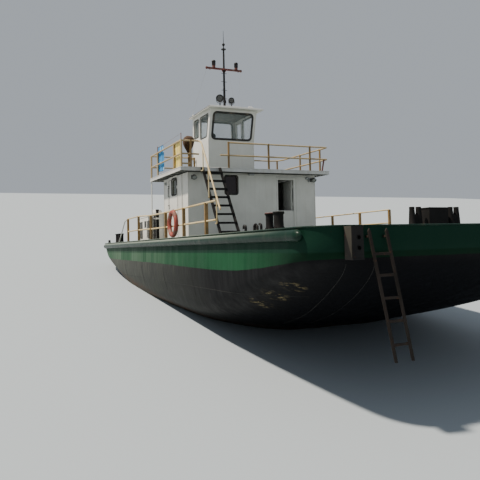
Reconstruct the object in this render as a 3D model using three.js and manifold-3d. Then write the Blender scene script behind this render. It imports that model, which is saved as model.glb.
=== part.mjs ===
// A harbour tugboat with a pusher bow: a broad barge-like steel hull, a low deckhouse, an upper deck
// with rails and a wheelhouse on it. Millimetres, +X forward, +Y to port, +Z up.
// The origin is on the waterline, on the centreline, amidships. The boat floats down by the stern, so
// hull and deck are built level in their own group, and that group is turned to its trim.
import * as THREE from "three";
import { mergeVertices } from "three/addons/utils/BufferGeometryUtils.js";
import Module from "manifold-3d";

const wasm = await Module();
wasm.setup();

// Trim of the hull by the stern, and how far the deckhouse leans back towards level
const hullTrim = THREE.MathUtils.degToRad(6.65);
const houseLean = THREE.MathUtils.degToRad(1.08);

// Hull
const deckZ = 2190;
const gap = 0.3;
const cornerSteps = 6;

// Half-round pipe fender along each side, with a long rounded end
const fenderRadius = 105;
const fenderBelowDeck = 130;
const fenderNose = 1.7 * fenderRadius;
const fenderAft = -9350;
const fenderFore = 9270;

// Deckhouse, in its own frame: origin on the centreline at the middle of its floor
const houseX = -2910;
const houseFloorAboveDeck = 98;
const houseHalfLength = 1540;
const houseHalfWidth = 2584;
const houseHeight = 2312;
const wallThick = 50;

// Upper deck slab
const upperThick = 127;
const upperFore = 1975;
const upperAft = -2200;
const upperHalfWidth = 2980;
const upperTop = houseHeight + upperThick;

// Wheelhouse on the upper deck
const cabFore = -600;
const cabAft = -2500;
const cabHalfWidth = 995;
const cabKnuckle = 3889;
const cabTop = 5085;
const cabRake = 333;
const cabWall = 45;
const roofThick = 76;
const roofFore = 58;
const roofAft = -2530;
const roofHalfWidth = 1157;

// Rails
const railPipe = 24;
const railPost = 32;
const upperRailTop = upperTop + 920;
const upperRailMid = upperTop + 460;
const deckRailY = 3900;

// Stair from the main deck to the upper deck
const stairHalfWidth = 340;
const stairY = -1890;
const stairTopX = upperFore + 30;
const stairRun = 1720;
const stairTreads = 8;

// Running gear
const shaftY = 1750;
const propellerX = -6700;
const propellerZ = -210;
const propellerRadius = 560;
const rudderStockX = -7750;
const rudderTrunkZ = 900;

const paint = (color, roughness, metalness = 0.2) =>
  new THREE.MeshStandardMaterial({ color, roughness, metalness });
const hullGreen = paint(0x1d5238, 0.45);
const hullBlack = paint(0x17181a, 0.6);
const houseWhite = paint(0xd9d8cf, 0.5);
const railYellow = paint(0xb98a3c, 0.55);
const darkSteel = paint(0x1b1c1e, 0.55, 0.5);
const deckGreen = paint(0x2a3a31, 0.8);
const bronze = paint(0x8a6a35, 0.4, 0.9);
const canvasBrown = paint(0x5a3a22, 0.9, 0);
const clothBlue = paint(0x4f9fd0, 0.9, 0);
const clothYellow = paint(0xd9c36a, 0.9, 0);
const ringOrange = paint(0xc4583f, 0.7, 0);
const glassTint = new THREE.MeshStandardMaterial({
  color: 0x9fb4b4, roughness: 0.1, metalness: 0, transparent: true, opacity: 0.35,
});

// A closed geometry as a manifold solid, and back
function solid(geometry) {
  const g = (geometry.index ? geometry.toNonIndexed() : geometry.clone());
  g.deleteAttribute("normal");
  g.deleteAttribute("uv");
  const merged = mergeVertices(g, 1e-3);
  return new wasm.Manifold(new wasm.Mesh({
    numProp: 3,
    vertProperties: merged.attributes.position.array,
    triVerts: new Uint32Array(merged.index.array),
  }));
}

function geometryOf(made) {
  const m = made.getMesh();
  const position = new Float32Array(m.numVert * 3);
  for (let i = 0; i < m.numVert; i++)
    position.set(m.vertProperties.subarray(i * m.numProp, i * m.numProp + 3), i * 3);
  const g = new THREE.BufferGeometry();
  g.setAttribute("position", new THREE.BufferAttribute(position, 3));
  g.setIndex(new THREE.BufferAttribute(new Uint32Array(m.triVerts), 1));
  const flat = g.toNonIndexed();
  flat.computeVertexNormals();
  return flat;
}

const joined = (pieces) => pieces.map(solid).reduce((a, b) => a.add(b));
const cut = (body, holes) => holes.map(solid).reduce((a, b) => a.subtract(b), body);

// A named mesh from a three.js geometry or a joined solid
function part(group, name, shape, material) {
  const geometry = shape.isBufferGeometry ? shape : geometryOf(shape);
  const mesh = new THREE.Mesh(geometry, material);
  mesh.name = name;
  group.add(mesh);
  return mesh;
}

const box = (x0, x1, y0, y1, z0, z1) =>
  new THREE.BoxGeometry(x1 - x0, y1 - y0, z1 - z0)
    .translate((x0 + x1) / 2, (y0 + y1) / 2, (z0 + z1) / 2);

// A round bar between two points, its ends cut square
function bar(a, b, radius, sides = 6, endRadius = radius) {
  const along = new THREE.Vector3(...b).sub(new THREE.Vector3(...a));
  const g = new THREE.CylinderGeometry(endRadius, radius, along.length(), sides);
  g.translate(0, along.length() / 2, 0);
  const up = new THREE.Vector3(0, 1, 0);
  g.applyQuaternion(new THREE.Quaternion().setFromUnitVectors(up, along.clone().normalize()));
  return g.translate(...a);
}

const ball = (at, radius, sides = 6) => new THREE.SphereGeometry(radius, sides, 4).translate(...at);

// Pipes joined end to end, with a ball at each bend
function pipeRun(points, radius, sides = 6) {
  const runs = points.slice(1).map((p, i) => bar(points[i], p, radius, sides));
  const bends = points.slice(1, -1).map((p) => ball(p, radius * 1.02, sides));
  return [...runs, ...bends];
}

// A rectangle with round corners, as a shape, centred on (x, y)
function roundedShape(x, y, width, height, radius) {
  const s = new THREE.Shape();
  const [w, h] = [width / 2, height / 2];
  s.moveTo(x - w + radius, y - h);
  s.lineTo(x + w - radius, y - h);
  s.absarc(x + w - radius, y - h + radius, radius, -Math.PI / 2, 0);
  s.lineTo(x + w, y + h - radius);
  s.absarc(x + w - radius, y + h - radius, radius, 0, Math.PI / 2);
  s.lineTo(x - w + radius, y + h);
  s.absarc(x - w + radius, y + h - radius, radius, Math.PI / 2, Math.PI);
  s.lineTo(x - w, y - h + radius);
  s.absarc(x - w + radius, y - h + radius, radius, Math.PI, Math.PI * 1.5);
  return s;
}

const extruded = (shape, depth, curveSegments = 4) =>
  new THREE.ExtrudeGeometry(shape, { depth, bevelEnabled: false, curveSegments });

// A plate in a plane across X: the shape's x is the part's y, and its y is the part's z
const acrossX = (shape, x, depth) =>
  extruded(shape, depth)
    .applyMatrix4(new THREE.Matrix4().set(0, 0, 1, x, 1, 0, 0, 0, 0, 1, 0, 0, 0, 0, 0, 1));
// A plate in a plane across Y: the shape's x is the part's x, and its y is the part's z
const acrossY = (shape, y, depth) =>
  extruded(shape, depth)
    .applyMatrix4(new THREE.Matrix4().set(1, 0, 0, 0, 0, 0, -1, y + depth, 0, 1, 0, 0, 0, 0, 0, 1));

const polygon = (points) => new THREE.Shape(points.map(([x, y]) => new THREE.Vector2(x, y)));

// Hull: waterlines below the deck, joined from level to level. Columns: depth below the deck, half
// beam, bow end, length and width of the bow corner, stern end, length and width of the stern corner.
const waterlines = [
  [0, 4100, 9700, 700, 600, -10050, 650, 600],
  [560, 4100, 9640, 900, 800, -9500, 900, 900],
  [800, 4095, 9330, 1500, 1150, -8900, 1100, 1100],
  [1100, 4060, 8730, 2300, 1550, -8050, 1400, 1400],
  [1450, 3975, 7900, 3000, 1900, -7100, 1700, 1700],
  [1850, 3810, 6750, 3500, 2100, -5950, 1900, 1800],
  [2180, 3420, 5500, 3800, 2000, -4950, 2000, 1700],
  [2600, 2650, 3760, 3900, 1600, -3700, 1900, 1400],
  [3000, 1950, 1900, 2600, 1100, -2500, 1500, 1000],
];

function waterline([depth, halfBeam, bow, bowLong, bowWide, stern, sternLong, sternWide]) {
  const corners = [
    [bow - bowLong, halfBeam - bowWide, bowLong, bowWide, 0],
    [stern + sternLong, halfBeam - sternWide, sternLong, sternWide, 1],
    [stern + sternLong, -(halfBeam - sternWide), sternLong, sternWide, 2],
    [bow - bowLong, -(halfBeam - bowWide), bowLong, bowWide, 3],
  ];
  const points = [];
  for (const [x, y, long, wide, quarter] of corners)
    for (let i = 0; i <= cornerSteps; i++) {
      const turn = (quarter + i / cornerSteps) * (Math.PI / 2);
      points.push(new THREE.Vector3(x + long * Math.cos(turn), y + wide * Math.sin(turn), deckZ - depth));
    }
  return points;
}

function hullGeometry() {
  const rings = waterlines.map(waterline);
  const count = rings[0].length;
  const faces = [];
  for (let level = 0; level + 1 < rings.length; level++)
    for (let i = 0; i < count; i++) {
      const [a, b] = [rings[level][i], rings[level][(i + 1) % count]];
      const [c, d] = [rings[level + 1][i], rings[level + 1][(i + 1) % count]];
      faces.push(a, c, b, b, c, d);
    }
  const [top, bottom] = [rings[0], rings.at(-1)];
  for (let i = 1; i + 1 < count; i++) {
    faces.push(top[0], top[i], top[i + 1]);
    faces.push(bottom[0], bottom[i + 1], bottom[i]);
  }
  return new THREE.BufferGeometry().setFromPoints(faces);
}

const root = new THREE.Group();
const hullGroup = new THREE.Group();
hullGroup.rotation.y = -hullTrim;
root.add(hullGroup);
const houseGroup = new THREE.Group();
houseGroup.position.set(houseX, 0, deckZ + houseFloorAboveDeck);
houseGroup.rotation.y = houseLean;
hullGroup.add(houseGroup);

// Height of the main deck in the deckhouse's frame, at a place along it
const deckInHouse = (x) =>
  x * Math.tan(houseLean) - houseFloorAboveDeck / Math.cos(houseLean);

// Shaft tubes with a strut each, and the skeg on the centreline, are welded to the hull
function shaftTube(side) {
  const y = side * shaftY;
  return [
    bar([propellerX + 190, y, propellerZ], [-3300, y, propellerZ + 80], 95, 12),
    box(propellerX + 230, propellerX + 430, y - 22, y + 22, propellerZ, deckZ - 1500),
  ];
}

function buildHull() {
  const skeg = acrossY(polygon([[-5900, -700], [-5900, 420], [-2400, -790], [-2400, -830]]), -45, 90);
  const trunk = (side) =>
    bar([rudderStockX, side * shaftY, rudderTrunkZ], [rudderStockX, side * shaftY, deckZ - 1000], 95, 14);
  const welded = [skeg, trunk(1), trunk(-1), ...shaftTube(1), ...shaftTube(-1)];
  part(hullGroup, "hull", joined([hullGeometry(), ...welded]), hullGreen);
}

function buildFenders() {
  for (const [name, side] of [["starboard", -1], ["port", 1]]) {
    const y = side * (4100 + gap);
    const z = deckZ - fenderBelowDeck;
    const [aft, fore] = [fenderAft + fenderNose, fenderFore - fenderNose];
    const end = (x) => new THREE.SphereGeometry(fenderRadius, 20, 14).rotateZ(Math.PI / 2)
      .scale(fenderNose / fenderRadius, 1, 1).translate(x, y, z);
    const round = joined([bar([aft, y, z], [fore, y, z], fenderRadius, 20), end(aft), end(fore)]);
    const inboard = [y, y - side * 300];
    const behind = box(fenderAft - 10, fenderFore + 10, Math.min(...inboard), Math.max(...inboard),
      z - 200, z + 200);
    part(hullGroup, "fender_" + name, cut(round, [behind]), hullGreen);
  }
}

// Push knees: a block standing off the bow, with two holes through it
const knee = { x: 9700, y: 3450, halfWidth: 110, deep: 220, height: 550, holeRadius: 34 };
function buildKnees() {
  for (const [name, side] of [["starboard", -1], ["port", 1]]) {
    const { x, halfWidth, deep, height, holeRadius } = knee;
    const y = side * knee.y;
    const block = box(x + gap, x + deep, y - halfWidth, y + halfWidth, deckZ - height, deckZ - 4);
    const holes = [-190, -360].map((z) =>
      bar([x - 10, y - side * 22, deckZ + z], [x + deep + 20, y - side * 22, deckZ + z], holeRadius, 12));
    part(hullGroup, "push_knee_" + name, cut(solid(block), holes), darkSteel);
  }
}

// Where the bow's flat face stands, at a depth under the deck
const bowFaceX = (depth) =>
  THREE.MathUtils.mapLinear(depth, 0, waterlines[1][0], waterlines[0][2], waterlines[1][2]);

// Bow ladder of flat bars, hung over the bow and swung a little to port
const ladder = {
  x: 9790, topY: -2960, footY: -2520, topZ: -95, footZ: -2270, halfWidth: 175,
  barWide: 55, barThick: 30, rungHigh: 50, rungs: [0.172, 0.335, 0.509, 0.686, 0.866],
};
function buildLadder() {
  const { x, halfWidth, barWide, barThick, rungHigh } = ladder;
  const centreY = (t) => THREE.MathUtils.lerp(ladder.topY, ladder.footY, t);
  const levelZ = (t) => deckZ + THREE.MathUtils.lerp(ladder.topZ, ladder.footZ, t);
  const pieces = [];
  for (const side of [-1, 1]) {
    const edge = (t, across) => [centreY(t) + side * halfWidth + (across * barWide) / 2, levelZ(t)];
    const [tipY, tipZ] = edge(0, 0);
    const outline = polygon([edge(0, -1), edge(1, -1), edge(1, 1), edge(0, 1), [tipY, tipZ + barWide]]);
    pieces.push(acrossX(outline, x - barThick / 2, barThick));
    const [lugY, lugZ] = [centreY(0.02) + side * halfWidth, levelZ(0.02)];
    pieces.push(box(bowFaceX(deckZ - lugZ + 20) + gap, x, lugY - 20, lugY + 20, lugZ - 60, lugZ - 20));
  }
  for (const t of ladder.rungs)
    pieces.push(box(x - 11, x + 11, centreY(t) - halfWidth, centreY(t) + halfWidth,
      levelZ(t) - rungHigh / 2, levelZ(t) + rungHigh / 2));
  part(hullGroup, "bow_ladder", joined(pieces), darkSteel);
}

// Double bollards: foot plate and two posts with a cap each.
// Columns: name, x, y, radius of the aft post and of the fore post, half their distance, height
const bollardTable = [
  ["bollard_bow_starboard", 7210, -3560, 80, 100, 205, 390],
  ["bollard_bow_port", 7210, 3560, 80, 100, 205, 390],
  ["bollard_stern_starboard", -9250, -3450, 130, 130, 280, 460],
  ["bollard_stern_port", -9250, 3450, 130, 130, 280, 460],
];
function buildBollards() {
  for (const [name, x, y, aftRadius, foreRadius, apart, height] of bollardTable) {
    const [halfLong, halfWide] = [apart + 215, foreRadius + 45];
    const pieces = [box(x - halfLong, x + halfLong, y - halfWide, y + halfWide, deckZ + gap, deckZ + 25)];
    for (const [postX, radius] of [[x - apart, aftRadius], [x + apart, foreRadius]]) {
      pieces.push(bar([postX, y, deckZ + 10], [postX, y, deckZ + height], radius, 16));
      pieces.push(bar([postX, y, deckZ + height - 40], [postX, y, deckZ + height], radius + 20, 16));
    }
    part(hullGroup, name, joined(pieces), darkSteel);
  }
}

// Towing bitts on the foredeck: a block between two pairs of tapered posts with a saddle in each pair
const bitts = { x: 7900, halfWidth: 810, outerY: 617, innerY: 441, postHeight: 460, saddle: 320, block: 265 };
function buildBitts() {
  const { x, halfWidth, outerY, innerY, postHeight, saddle, block } = bitts;
  const pieces = [
    box(x - 300, x + 300, -halfWidth, halfWidth, deckZ + gap, deckZ + 30),
    box(x - 130, x + 130, -block, block, deckZ + 20, deckZ + 440),
  ];
  for (const side of [-1, 1]) {
    for (const y of [side * outerY, side * innerY])
      pieces.push(bar([x, y, deckZ + 20], [x, y, deckZ + postHeight], 78, 14, 52));
    const [low, high] = side < 0 ? [-outerY, -innerY] : [innerY, outerY];
    pieces.push(box(x - 60, x + 60, low, high, deckZ + 20, deckZ + saddle));
  }
  part(hullGroup, "towing_bitts", joined(pieces), darkSteel);
}

// Main deck rails: square posts, a top and a middle pipe that follow the heights given.
// Columns: x, height of the top pipe, height of the middle pipe
const deckRailStarboard = [
  [-5190, 930, 420], [-3330, 930, 420], [-1470, 850, 385],
  [390, 830, 368], [2250, 830, 366], [4110, 830, 366],
];
const deckRailPort = [
  [-5900, 850, 390], [-4060, 850, 390], [-2200, 850, 390], [-300, 850, 390], [1450, 850, 390],
];
// The stay that runs down aft of the rail. Columns: x from the aft post, share of that post's height
const deckRailStay = [[0, 1], [-600, 0.94], [-1330, 0.42], [-1910, 0.027]];
const railPastPost = 700;
function buildDeckRail(name, side, rows, past) {
  const y = side * deckRailY;
  const [aftX, aftTop] = rows[0];
  const foreX = rows.at(-1)[0] + past;
  const pieces = rows.map(([x, top]) =>
    box(x - railPost, x + railPost, y - railPost, y + railPost, deckZ + gap, deckZ + top));
  for (const column of [1, 2]) {
    const run = rows.map((row) => [row[0], y, deckZ + row[column]]);
    if (past > 0) run.push([foreX, y, run.at(-1)[2]]);
    pieces.push(...pipeRun(run, railPipe), ball(run.at(-1), railPipe));
  }
  const stay = deckRailStay.map(([x, share]) => [aftX + x, y, deckZ + share * aftTop]);
  pieces.push(...pipeRun(stay, railPipe));
  const [footX, , footZ] = stay.at(-1);
  pieces.push(bar([footX, y, deckZ + gap], [footX, y, footZ + 10], railPipe + 12, 10));
  part(hullGroup, "deck_rail_" + name, joined(pieces), railYellow);
}

// Life ring on the starboard rail
const lifeRing = { x: 1434, aboveDeck: 430, radius: 412, tube: 66 };
function buildLifeRing() {
  const { x, aboveDeck, radius, tube } = lifeRing;
  const ring = new THREE.TorusGeometry(radius - tube, tube, 8, 24);
  ring.rotateX(Math.PI / 2);
  ring.translate(x, -(deckRailY + railPipe * Math.cos(Math.PI / 6) + tube + gap), deckZ + aboveDeck);
  part(hullGroup, "life_ring", ring, ringOrange);
}

// Engine casing on the aft deck, with a hinged hatch, and the vent box before it
const casing = { aft: -7450, fore: -5880, halfWidth: 2900, height: 1090 };
const hatch = { aft: -7150, fore: -6180, halfWidth: 480, thick: 45 };
function buildCasing() {
  const w = casing.halfWidth;
  const body = box(casing.aft, casing.fore, -w, w, deckZ + gap, deckZ + casing.height);
  const inner = box(hatch.aft + 60, hatch.fore - 60, -hatch.halfWidth + 60, hatch.halfWidth - 60,
    deckZ + 60, deckZ + casing.height + 10);
  const openings = [[-7380, 220], [-6000, 140]].map(([x, width]) =>
    box(x, x + width, -w - 10, -w + 60, deckZ + 150, deckZ + 900));
  part(hullGroup, "engine_casing", cut(solid(body), [inner, ...openings]), houseWhite);
  const z = deckZ + casing.height + gap;
  const barrelEnd = hatch.halfWidth - 60;
  const lid = joined([
    box(hatch.aft, hatch.fore, -hatch.halfWidth, hatch.halfWidth, z, z + hatch.thick),
    bar([hatch.aft - 20, -barrelEnd, z + 24], [hatch.aft - 20, barrelEnd, z + 24], 22, 10),
  ]);
  part(hullGroup, "casing_hatch", lid, houseWhite);
}

// Vent box: a cabinet with a capped pipe on it
const ventBox = { aft: -5080, fore: -4540, y: -2900, width: 420, height: 1120, pipeX: -5000 };
function buildVentBox() {
  const { aft, fore, y, width, height, pipeX } = ventBox;
  const [pipeY, top] = [y + 170, deckZ + height];
  const pieces = [
    box(aft, fore, y, y + width, deckZ + gap, top),
    bar([pipeX, pipeY, top - 10], [pipeX, pipeY, top + 190], 58, 14),
    bar([pipeX, pipeY, top + 150], [pipeX, pipeY, top + 190], 75, 14),
  ];
  part(hullGroup, "vent_box", joined(pieces), houseWhite);
}

// Propellers: four blades on a hub, turning on the shaft at each side
const blade = { radius: 250, thick: 34, narrow: 0.78, pitch: 0.6 };
function buildPropellers() {
  for (const [name, side] of [["starboard", -1], ["port", 1]]) {
    const pieces = [
      bar([-110, 0, 0], [150, 0, 0], 95, 16),
      bar([140, 0, 0], [188.5, 0, 0], 45, 12),
    ];
    for (let k = 0; k < 4; k++) {
      const disc = new THREE.CylinderGeometry(blade.radius, blade.radius, blade.thick, 16);
      disc.rotateZ(Math.PI / 2).scale(1, blade.narrow, 1).rotateZ(side * blade.pitch);
      disc.translate(0, 0, propellerRadius - blade.radius).rotateX((k * Math.PI) / 2);
      pieces.push(disc);
    }
    const mesh = part(hullGroup, "propeller_" + name, joined(pieces), bronze);
    mesh.position.set(propellerX, side * shaftY, propellerZ);
  }
}

// Rudders: a balanced plate on a stock that comes down through the stern
function buildRudders() {
  for (const [name, side] of [["starboard", -1], ["port", 1]]) {
    const plate = new THREE.Shape();
    plate.moveTo(-620, -620);
    plate.lineTo(230, -620);
    plate.lineTo(250, 330);
    plate.lineTo(-560, 330);
    plate.closePath();
    const body = acrossY(plate, -35, 70);
    const stock = bar([0, 0, 300], [0, 0, rudderTrunkZ - propellerZ - gap], 55, 12);
    const mesh = part(hullGroup, "rudder_" + name, joined([body, stock]), hullBlack);
    mesh.position.set(rudderStockX, side * shaftY, propellerZ);
  }
}

// Stair: two stringers, treads between them, and a handrail at each side
function buildStair() {
  const foot = [stairTopX + stairRun, deckInHouse(stairTopX + stairRun + 80) + gap];
  const top = [stairTopX, upperTop - 10];
  const pieces = [];
  for (const side of [-1, 1]) {
    const y = stairY + side * stairHalfWidth;
    const outline = polygon([
      [foot[0] - 20, foot[1]], [foot[0] + 80, foot[1]], [top[0] + 85, top[1]], [top[0] + 4, top[1]],
    ]);
    pieces.push(acrossY(outline, y - 18, 36));
    pieces.push(box(upperFore + gap, stairTopX + 60, y - 18, y + 18, upperTop - 120, upperTop - 10));
  }
  for (let k = 0; k < stairTreads; k++) {
    const t = (k + 0.62) / (stairTreads + 0.35);
    const x = THREE.MathUtils.lerp(foot[0] + 35, top[0] + 40, t);
    const z = THREE.MathUtils.lerp(foot[1], top[1], t);
    pieces.push(box(x - 90, x + 90, stairY - stairHalfWidth, stairY + stairHalfWidth, z - 24, z + 24));
  }
  part(houseGroup, "stair", joined(pieces), darkSteel);
}

// Deckhouse walls. The coaming under them follows the slope of the main deck.
const doorClear = 8;
const sideDoor = { x0: -900, x1: 300, z0: 40, z1: 2285 };
const frontDoor = { y0: 970, y1: 1640, z0: 40, split: 955, z1: 2110 };
const frontWindow = { y: -925, z: 1880, width: 480, height: 660, radius: 75 };
const doorWindow = { x: -165, z: 1930, width: 640, height: 600, radius: 90 };

function buildHouse() {
  const [l, w, h, t] = [houseHalfLength, houseHalfWidth, houseHeight, wallThick];
  const low = (x) => deckInHouse(x) + gap;
  const profile = polygon([[-l, low(-l)], [l, low(l)], [l, 0], [-l, 0]]);
  const coaming = cut(solid(acrossY(profile, -w, 2 * w)), [box(-l + t, l - t, -w + t, w - t, -200, 100)]);
  part(houseGroup, "house_coaming", coaming, houseWhite);

  const top = h - gap;
  const { y, z, width, height, radius } = frontWindow;
  const front = cut(solid(box(l - t, l, -w, w, gap, top)), [
    box(l - t - 10, l + 10, frontDoor.y0, frontDoor.y1, frontDoor.z0, frontDoor.z1),
    acrossX(roundedShape(y, z, width, height, radius), l - t - 10, t + 20),
  ]);
  part(houseGroup, "house_wall_front", front, houseWhite);
  part(houseGroup, "house_wall_aft", box(-l, -l + t, -w, w, gap, top), houseWhite);
  const side = box(-l + t + gap, l - t - gap, -w, -w + t, gap, top);
  const starboard = cut(solid(side), [
    box(sideDoor.x0, sideDoor.x1, -w - 10, -w + t + 10, sideDoor.z0, sideDoor.z1),
  ]);
  part(houseGroup, "house_wall_starboard", starboard, houseWhite);
  const portWindow = roundedShape(300, doorWindow.z, doorWindow.width, doorWindow.height, doorWindow.radius);
  const portSide = solid(box(-l + t + gap, l - t - gap, w - t, w, gap, top));
  part(houseGroup, "house_wall_port", cut(portSide, [acrossY(portWindow, w - t - 10, t + 20)]), houseWhite);
}

// A door's hinge barrels at three heights, on its axis just off the wall. A strap runs from each barrel to
// the leaf, which lies on the strap's side towards -X or +X, and a pad fills what is left to its face.
const hinge = { radius: 15, off: 15.4, past: 4, length: 110, strap: 6, reach: 78 };
function hingeSet(x, y, toLeafX, faceY, heights) {
  const pieces = [];
  const x1 = x + toLeafX * hinge.reach;
  const padStart = x + toLeafX * (hinge.past + doorClear + 6);
  for (const z of heights) {
    const [low, high] = [z - hinge.length / 2, z + hinge.length / 2];
    pieces.push(bar([x, y, low], [x, y, high], hinge.radius, 12));
    pieces.push(box(Math.min(x, x1), Math.max(x, x1), y - hinge.strap, y + hinge.strap, low + 5, high - 5));
    pieces.push(box(Math.min(padStart, x1), Math.max(padStart, x1), Math.min(y, faceY), Math.max(y, faceY),
      low + 5, high - 5));
  }
  return pieces;
}

// House doors, clear of their frames all round
function buildHouseDoors() {
  const w = houseHalfWidth;
  const c = doorClear;
  const { x, z, width, height, radius } = doorWindow;
  const leaf = box(sideDoor.x0 + c, sideDoor.x1 - c, -w + 4, -w + 44, sideDoor.z0 + c, sideDoor.z1 - c);
  const pane = acrossY(roundedShape(x, z, width, height, radius), -w - 60, 130);
  const sideHinges = hingeSet(sideDoor.x1 + hinge.past, -w - hinge.off, -1, -w + 6, [330, 1110, 1890]);
  part(houseGroup, "house_door_starboard", cut(joined([leaf, ...sideHinges]), [pane]), houseWhite);

  // The front door is in two halves about its port edge, drawn turned back into the house: the upper
  // half stands open like that, and the lower one is turned shut.
  const [axisX, axisY] = [houseHalfLength - wallThick - hinge.off, frontDoor.y1 + hinge.past];
  const near = axisX - hinge.past - c;
  const far = near - (frontDoor.y1 - frontDoor.y0 - 2 * c);
  const face = axisY - hinge.off - 4;
  const half = (z0, z1, heights) =>
    joined([
      box(far, near, face - 40, face, z0 + c, z1 - c),
      ...hingeSet(axisX, axisY, -1, face - 2, heights),
    ]);
  const upper = half(frontDoor.split, frontDoor.z1, [1200, 1860]);
  part(houseGroup, "house_door_front", upper, houseWhite);
  const lower = geometryOf(half(frontDoor.z0, frontDoor.split, [220, 760]));
  lower.translate(-axisX, -axisY, 0).rotateZ(Math.PI / 2).translate(axisX, axisY, 0);
  part(houseGroup, "house_door_front_lower", lower, houseWhite);
}

function buildHouseGlass() {
  const l = houseHalfLength;
  const front = box(l - wallThick - 8, l - wallThick - gap, frontWindow.y - 290, frontWindow.y + 290,
    frontWindow.z - 380, frontWindow.z + 380);
  part(houseGroup, "house_glass_front", front, glassTint);
  const w = houseHalfWidth;
  const side = box(doorWindow.x - 360, doorWindow.x + 360, -w + 44 + gap, -w + 52,
    doorWindow.z - 340, sideDoor.z1 - doorClear - 12);
  part(houseGroup, "house_door_glass", side, glassTint);
  const port = box(-60, 660, w - wallThick - 8, w - wallThick - gap, doorWindow.z - 360, doorWindow.z + 360);
  part(houseGroup, "house_glass_port", port, glassTint);
}

// Upper deck with a bay aft under the wheelhouse, and its poles down to the main deck
const bay = { aft: -2680, halfWidth: 1120 };
function buildUpperDeck() {
  const plan = polygon([
    [upperFore, -upperHalfWidth], [upperFore, upperHalfWidth], [upperAft, upperHalfWidth],
    [upperAft, bay.halfWidth], [bay.aft, bay.halfWidth], [bay.aft, -bay.halfWidth],
    [upperAft, -bay.halfWidth], [upperAft, -upperHalfWidth],
  ]);
  part(houseGroup, "upper_deck", extruded(plan, upperThick).translate(0, 0, houseHeight), deckGreen);
  for (const [name, side] of [["starboard", -1], ["port", 1]]) {
    const [x, y] = [upperAft + 60, side * (upperHalfWidth - 40)];
    part(houseGroup, "support_pole_" + name,
      bar([x, y, deckInHouse(x) + 1], [x, y, houseHeight - gap], 24, 10), houseWhite);
  }
}

// Upper rail: posts and two pipes right round, open at the stair, with the stair's handrail on it
const railInset = 45;
const railFore = upperFore - railInset;
const railAft = upperAft + railInset;
const railSide = upperHalfWidth - railInset;
const handrailY = stairY - stairHalfWidth - 60;
const bayRail = { x: bay.aft + railInset, y: bay.halfWidth - railInset };
// Where the pipes start beside the stair. Columns: height, y
const railStarts = [[upperRailTop, -1170], [upperRailMid, -1490]];
const upperPosts = [
  [railFore, -railSide], [1050, -railSide], [-1170, -railSide], [railAft, -railSide],
  [railAft, -bayRail.y], [bayRail.x, -bayRail.y], [bayRail.x, bayRail.y], [railAft, bayRail.y],
  [railAft + 130, railSide - 130], [-170, railSide], [1400, railSide],
  [railFore, 2170], [railFore, 420], [railFore, -1170], [railFore, -2591],
];
// The handrail's posts, each with a leg across to the stair's stringer. Columns: x, height of the foot
const handrailPosts = [[2341, 2290], [2864, 1320], [3567, 430]];

function buildUpperRail() {
  const pieces = upperPosts.map(([x, y]) =>
    bar([x, y, upperTop + gap], [x, y, upperRailTop + 30], railPost, 8));
  for (const [z, startY] of railStarts) {
    const run = [
      [railFore, startY], [railFore, railSide], [railAft + 450, railSide], [railAft + 130, railSide - 130],
      [railAft, railSide - 450], [railAft, bayRail.y], [bayRail.x, bayRail.y], [bayRail.x, -bayRail.y],
      [railAft, -bayRail.y], [railAft, -railSide], [railFore, -railSide], [railFore, handrailY],
    ];
    pieces.push(...pipeRun(run.map(([x, y]) => [x, y, z]), railPipe));
  }
  // A short low bar before the stair, and a strut at the port corner in place of a post
  pieces.push(bar([railFore, -railSide, upperTop + 120], [railFore, -2591, upperTop + 120], railPipe));
  pieces.push(bar([railFore, 2700, upperTop + 8], [railFore, 2790, upperRailMid], railPipe));

  const rail = [
    [railFore, upperRailTop], [railFore + 250, upperRailTop - 80], [3810, 943], [3868, 905], [3862, 850],
  ];
  const slope = (rail[2][1] - rail[1][1]) / (rail[2][0] - rail[1][0]);
  pieces.push(...pipeRun(rail.map(([x, z]) => [x, handrailY, z]), railPipe));
  const stringerY = stairY - stairHalfWidth - 18 - gap;
  const stringerX = (z) =>
    THREE.MathUtils.mapLinear(z, upperTop - 10, 0, stairTopX + 45, stairTopX + stairRun + 12);
  for (const [x, footZ] of handrailPosts) {
    const leg = [
      [x, handrailY, rail[1][1] + slope * (x - rail[1][0])], [x, handrailY, footZ],
      [stringerX(footZ), handrailY, footZ], [stringerX(footZ), stringerY, footZ],
    ];
    pieces.push(...pipeRun(leg, railPipe - 3));
  }
  part(houseGroup, "upper_rail", joined(pieces), railYellow);
}

// Wheelhouse: side walls in profile, upright to the knuckle and leaning forward above it
const cabFrontTop = cabFore + cabRake;
const cabLean = Math.atan2(cabRake, cabTop - cabKnuckle);
const sideWindows = [
  { aft: -1560, foreLow: -790, foreTop: -560, low: 4070, top: 4945 },
  { aft: -2330, foreLow: -1760, foreTop: -1760, low: 4210, top: 4945 },
];
function cabProfile(inset, low, high) {
  const slope = cabRake / (cabTop - cabKnuckle);
  return [
    [cabAft + inset, low], [cabFore - inset, low], [cabFore - inset, cabKnuckle],
    [cabFore - inset + slope * (high - cabKnuckle), high], [cabAft + inset, high],
  ];
}

function sideWindowShape({ aft, foreLow, foreTop, low, top }) {
  const r = 70;
  const s = new THREE.Shape();
  s.moveTo(aft + r, low);
  s.lineTo(foreLow - r, low);
  s.quadraticCurveTo(foreLow, low, foreLow + 12, low + r);
  s.lineTo(foreTop - 12, top - r);
  s.quadraticCurveTo(foreTop, top, foreTop - r, top);
  s.lineTo(aft + r, top);
  s.quadraticCurveTo(aft, top, aft, top - r);
  s.lineTo(aft, low + r);
  s.quadraticCurveTo(aft, low, aft + r, low);
  return s;
}

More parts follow.
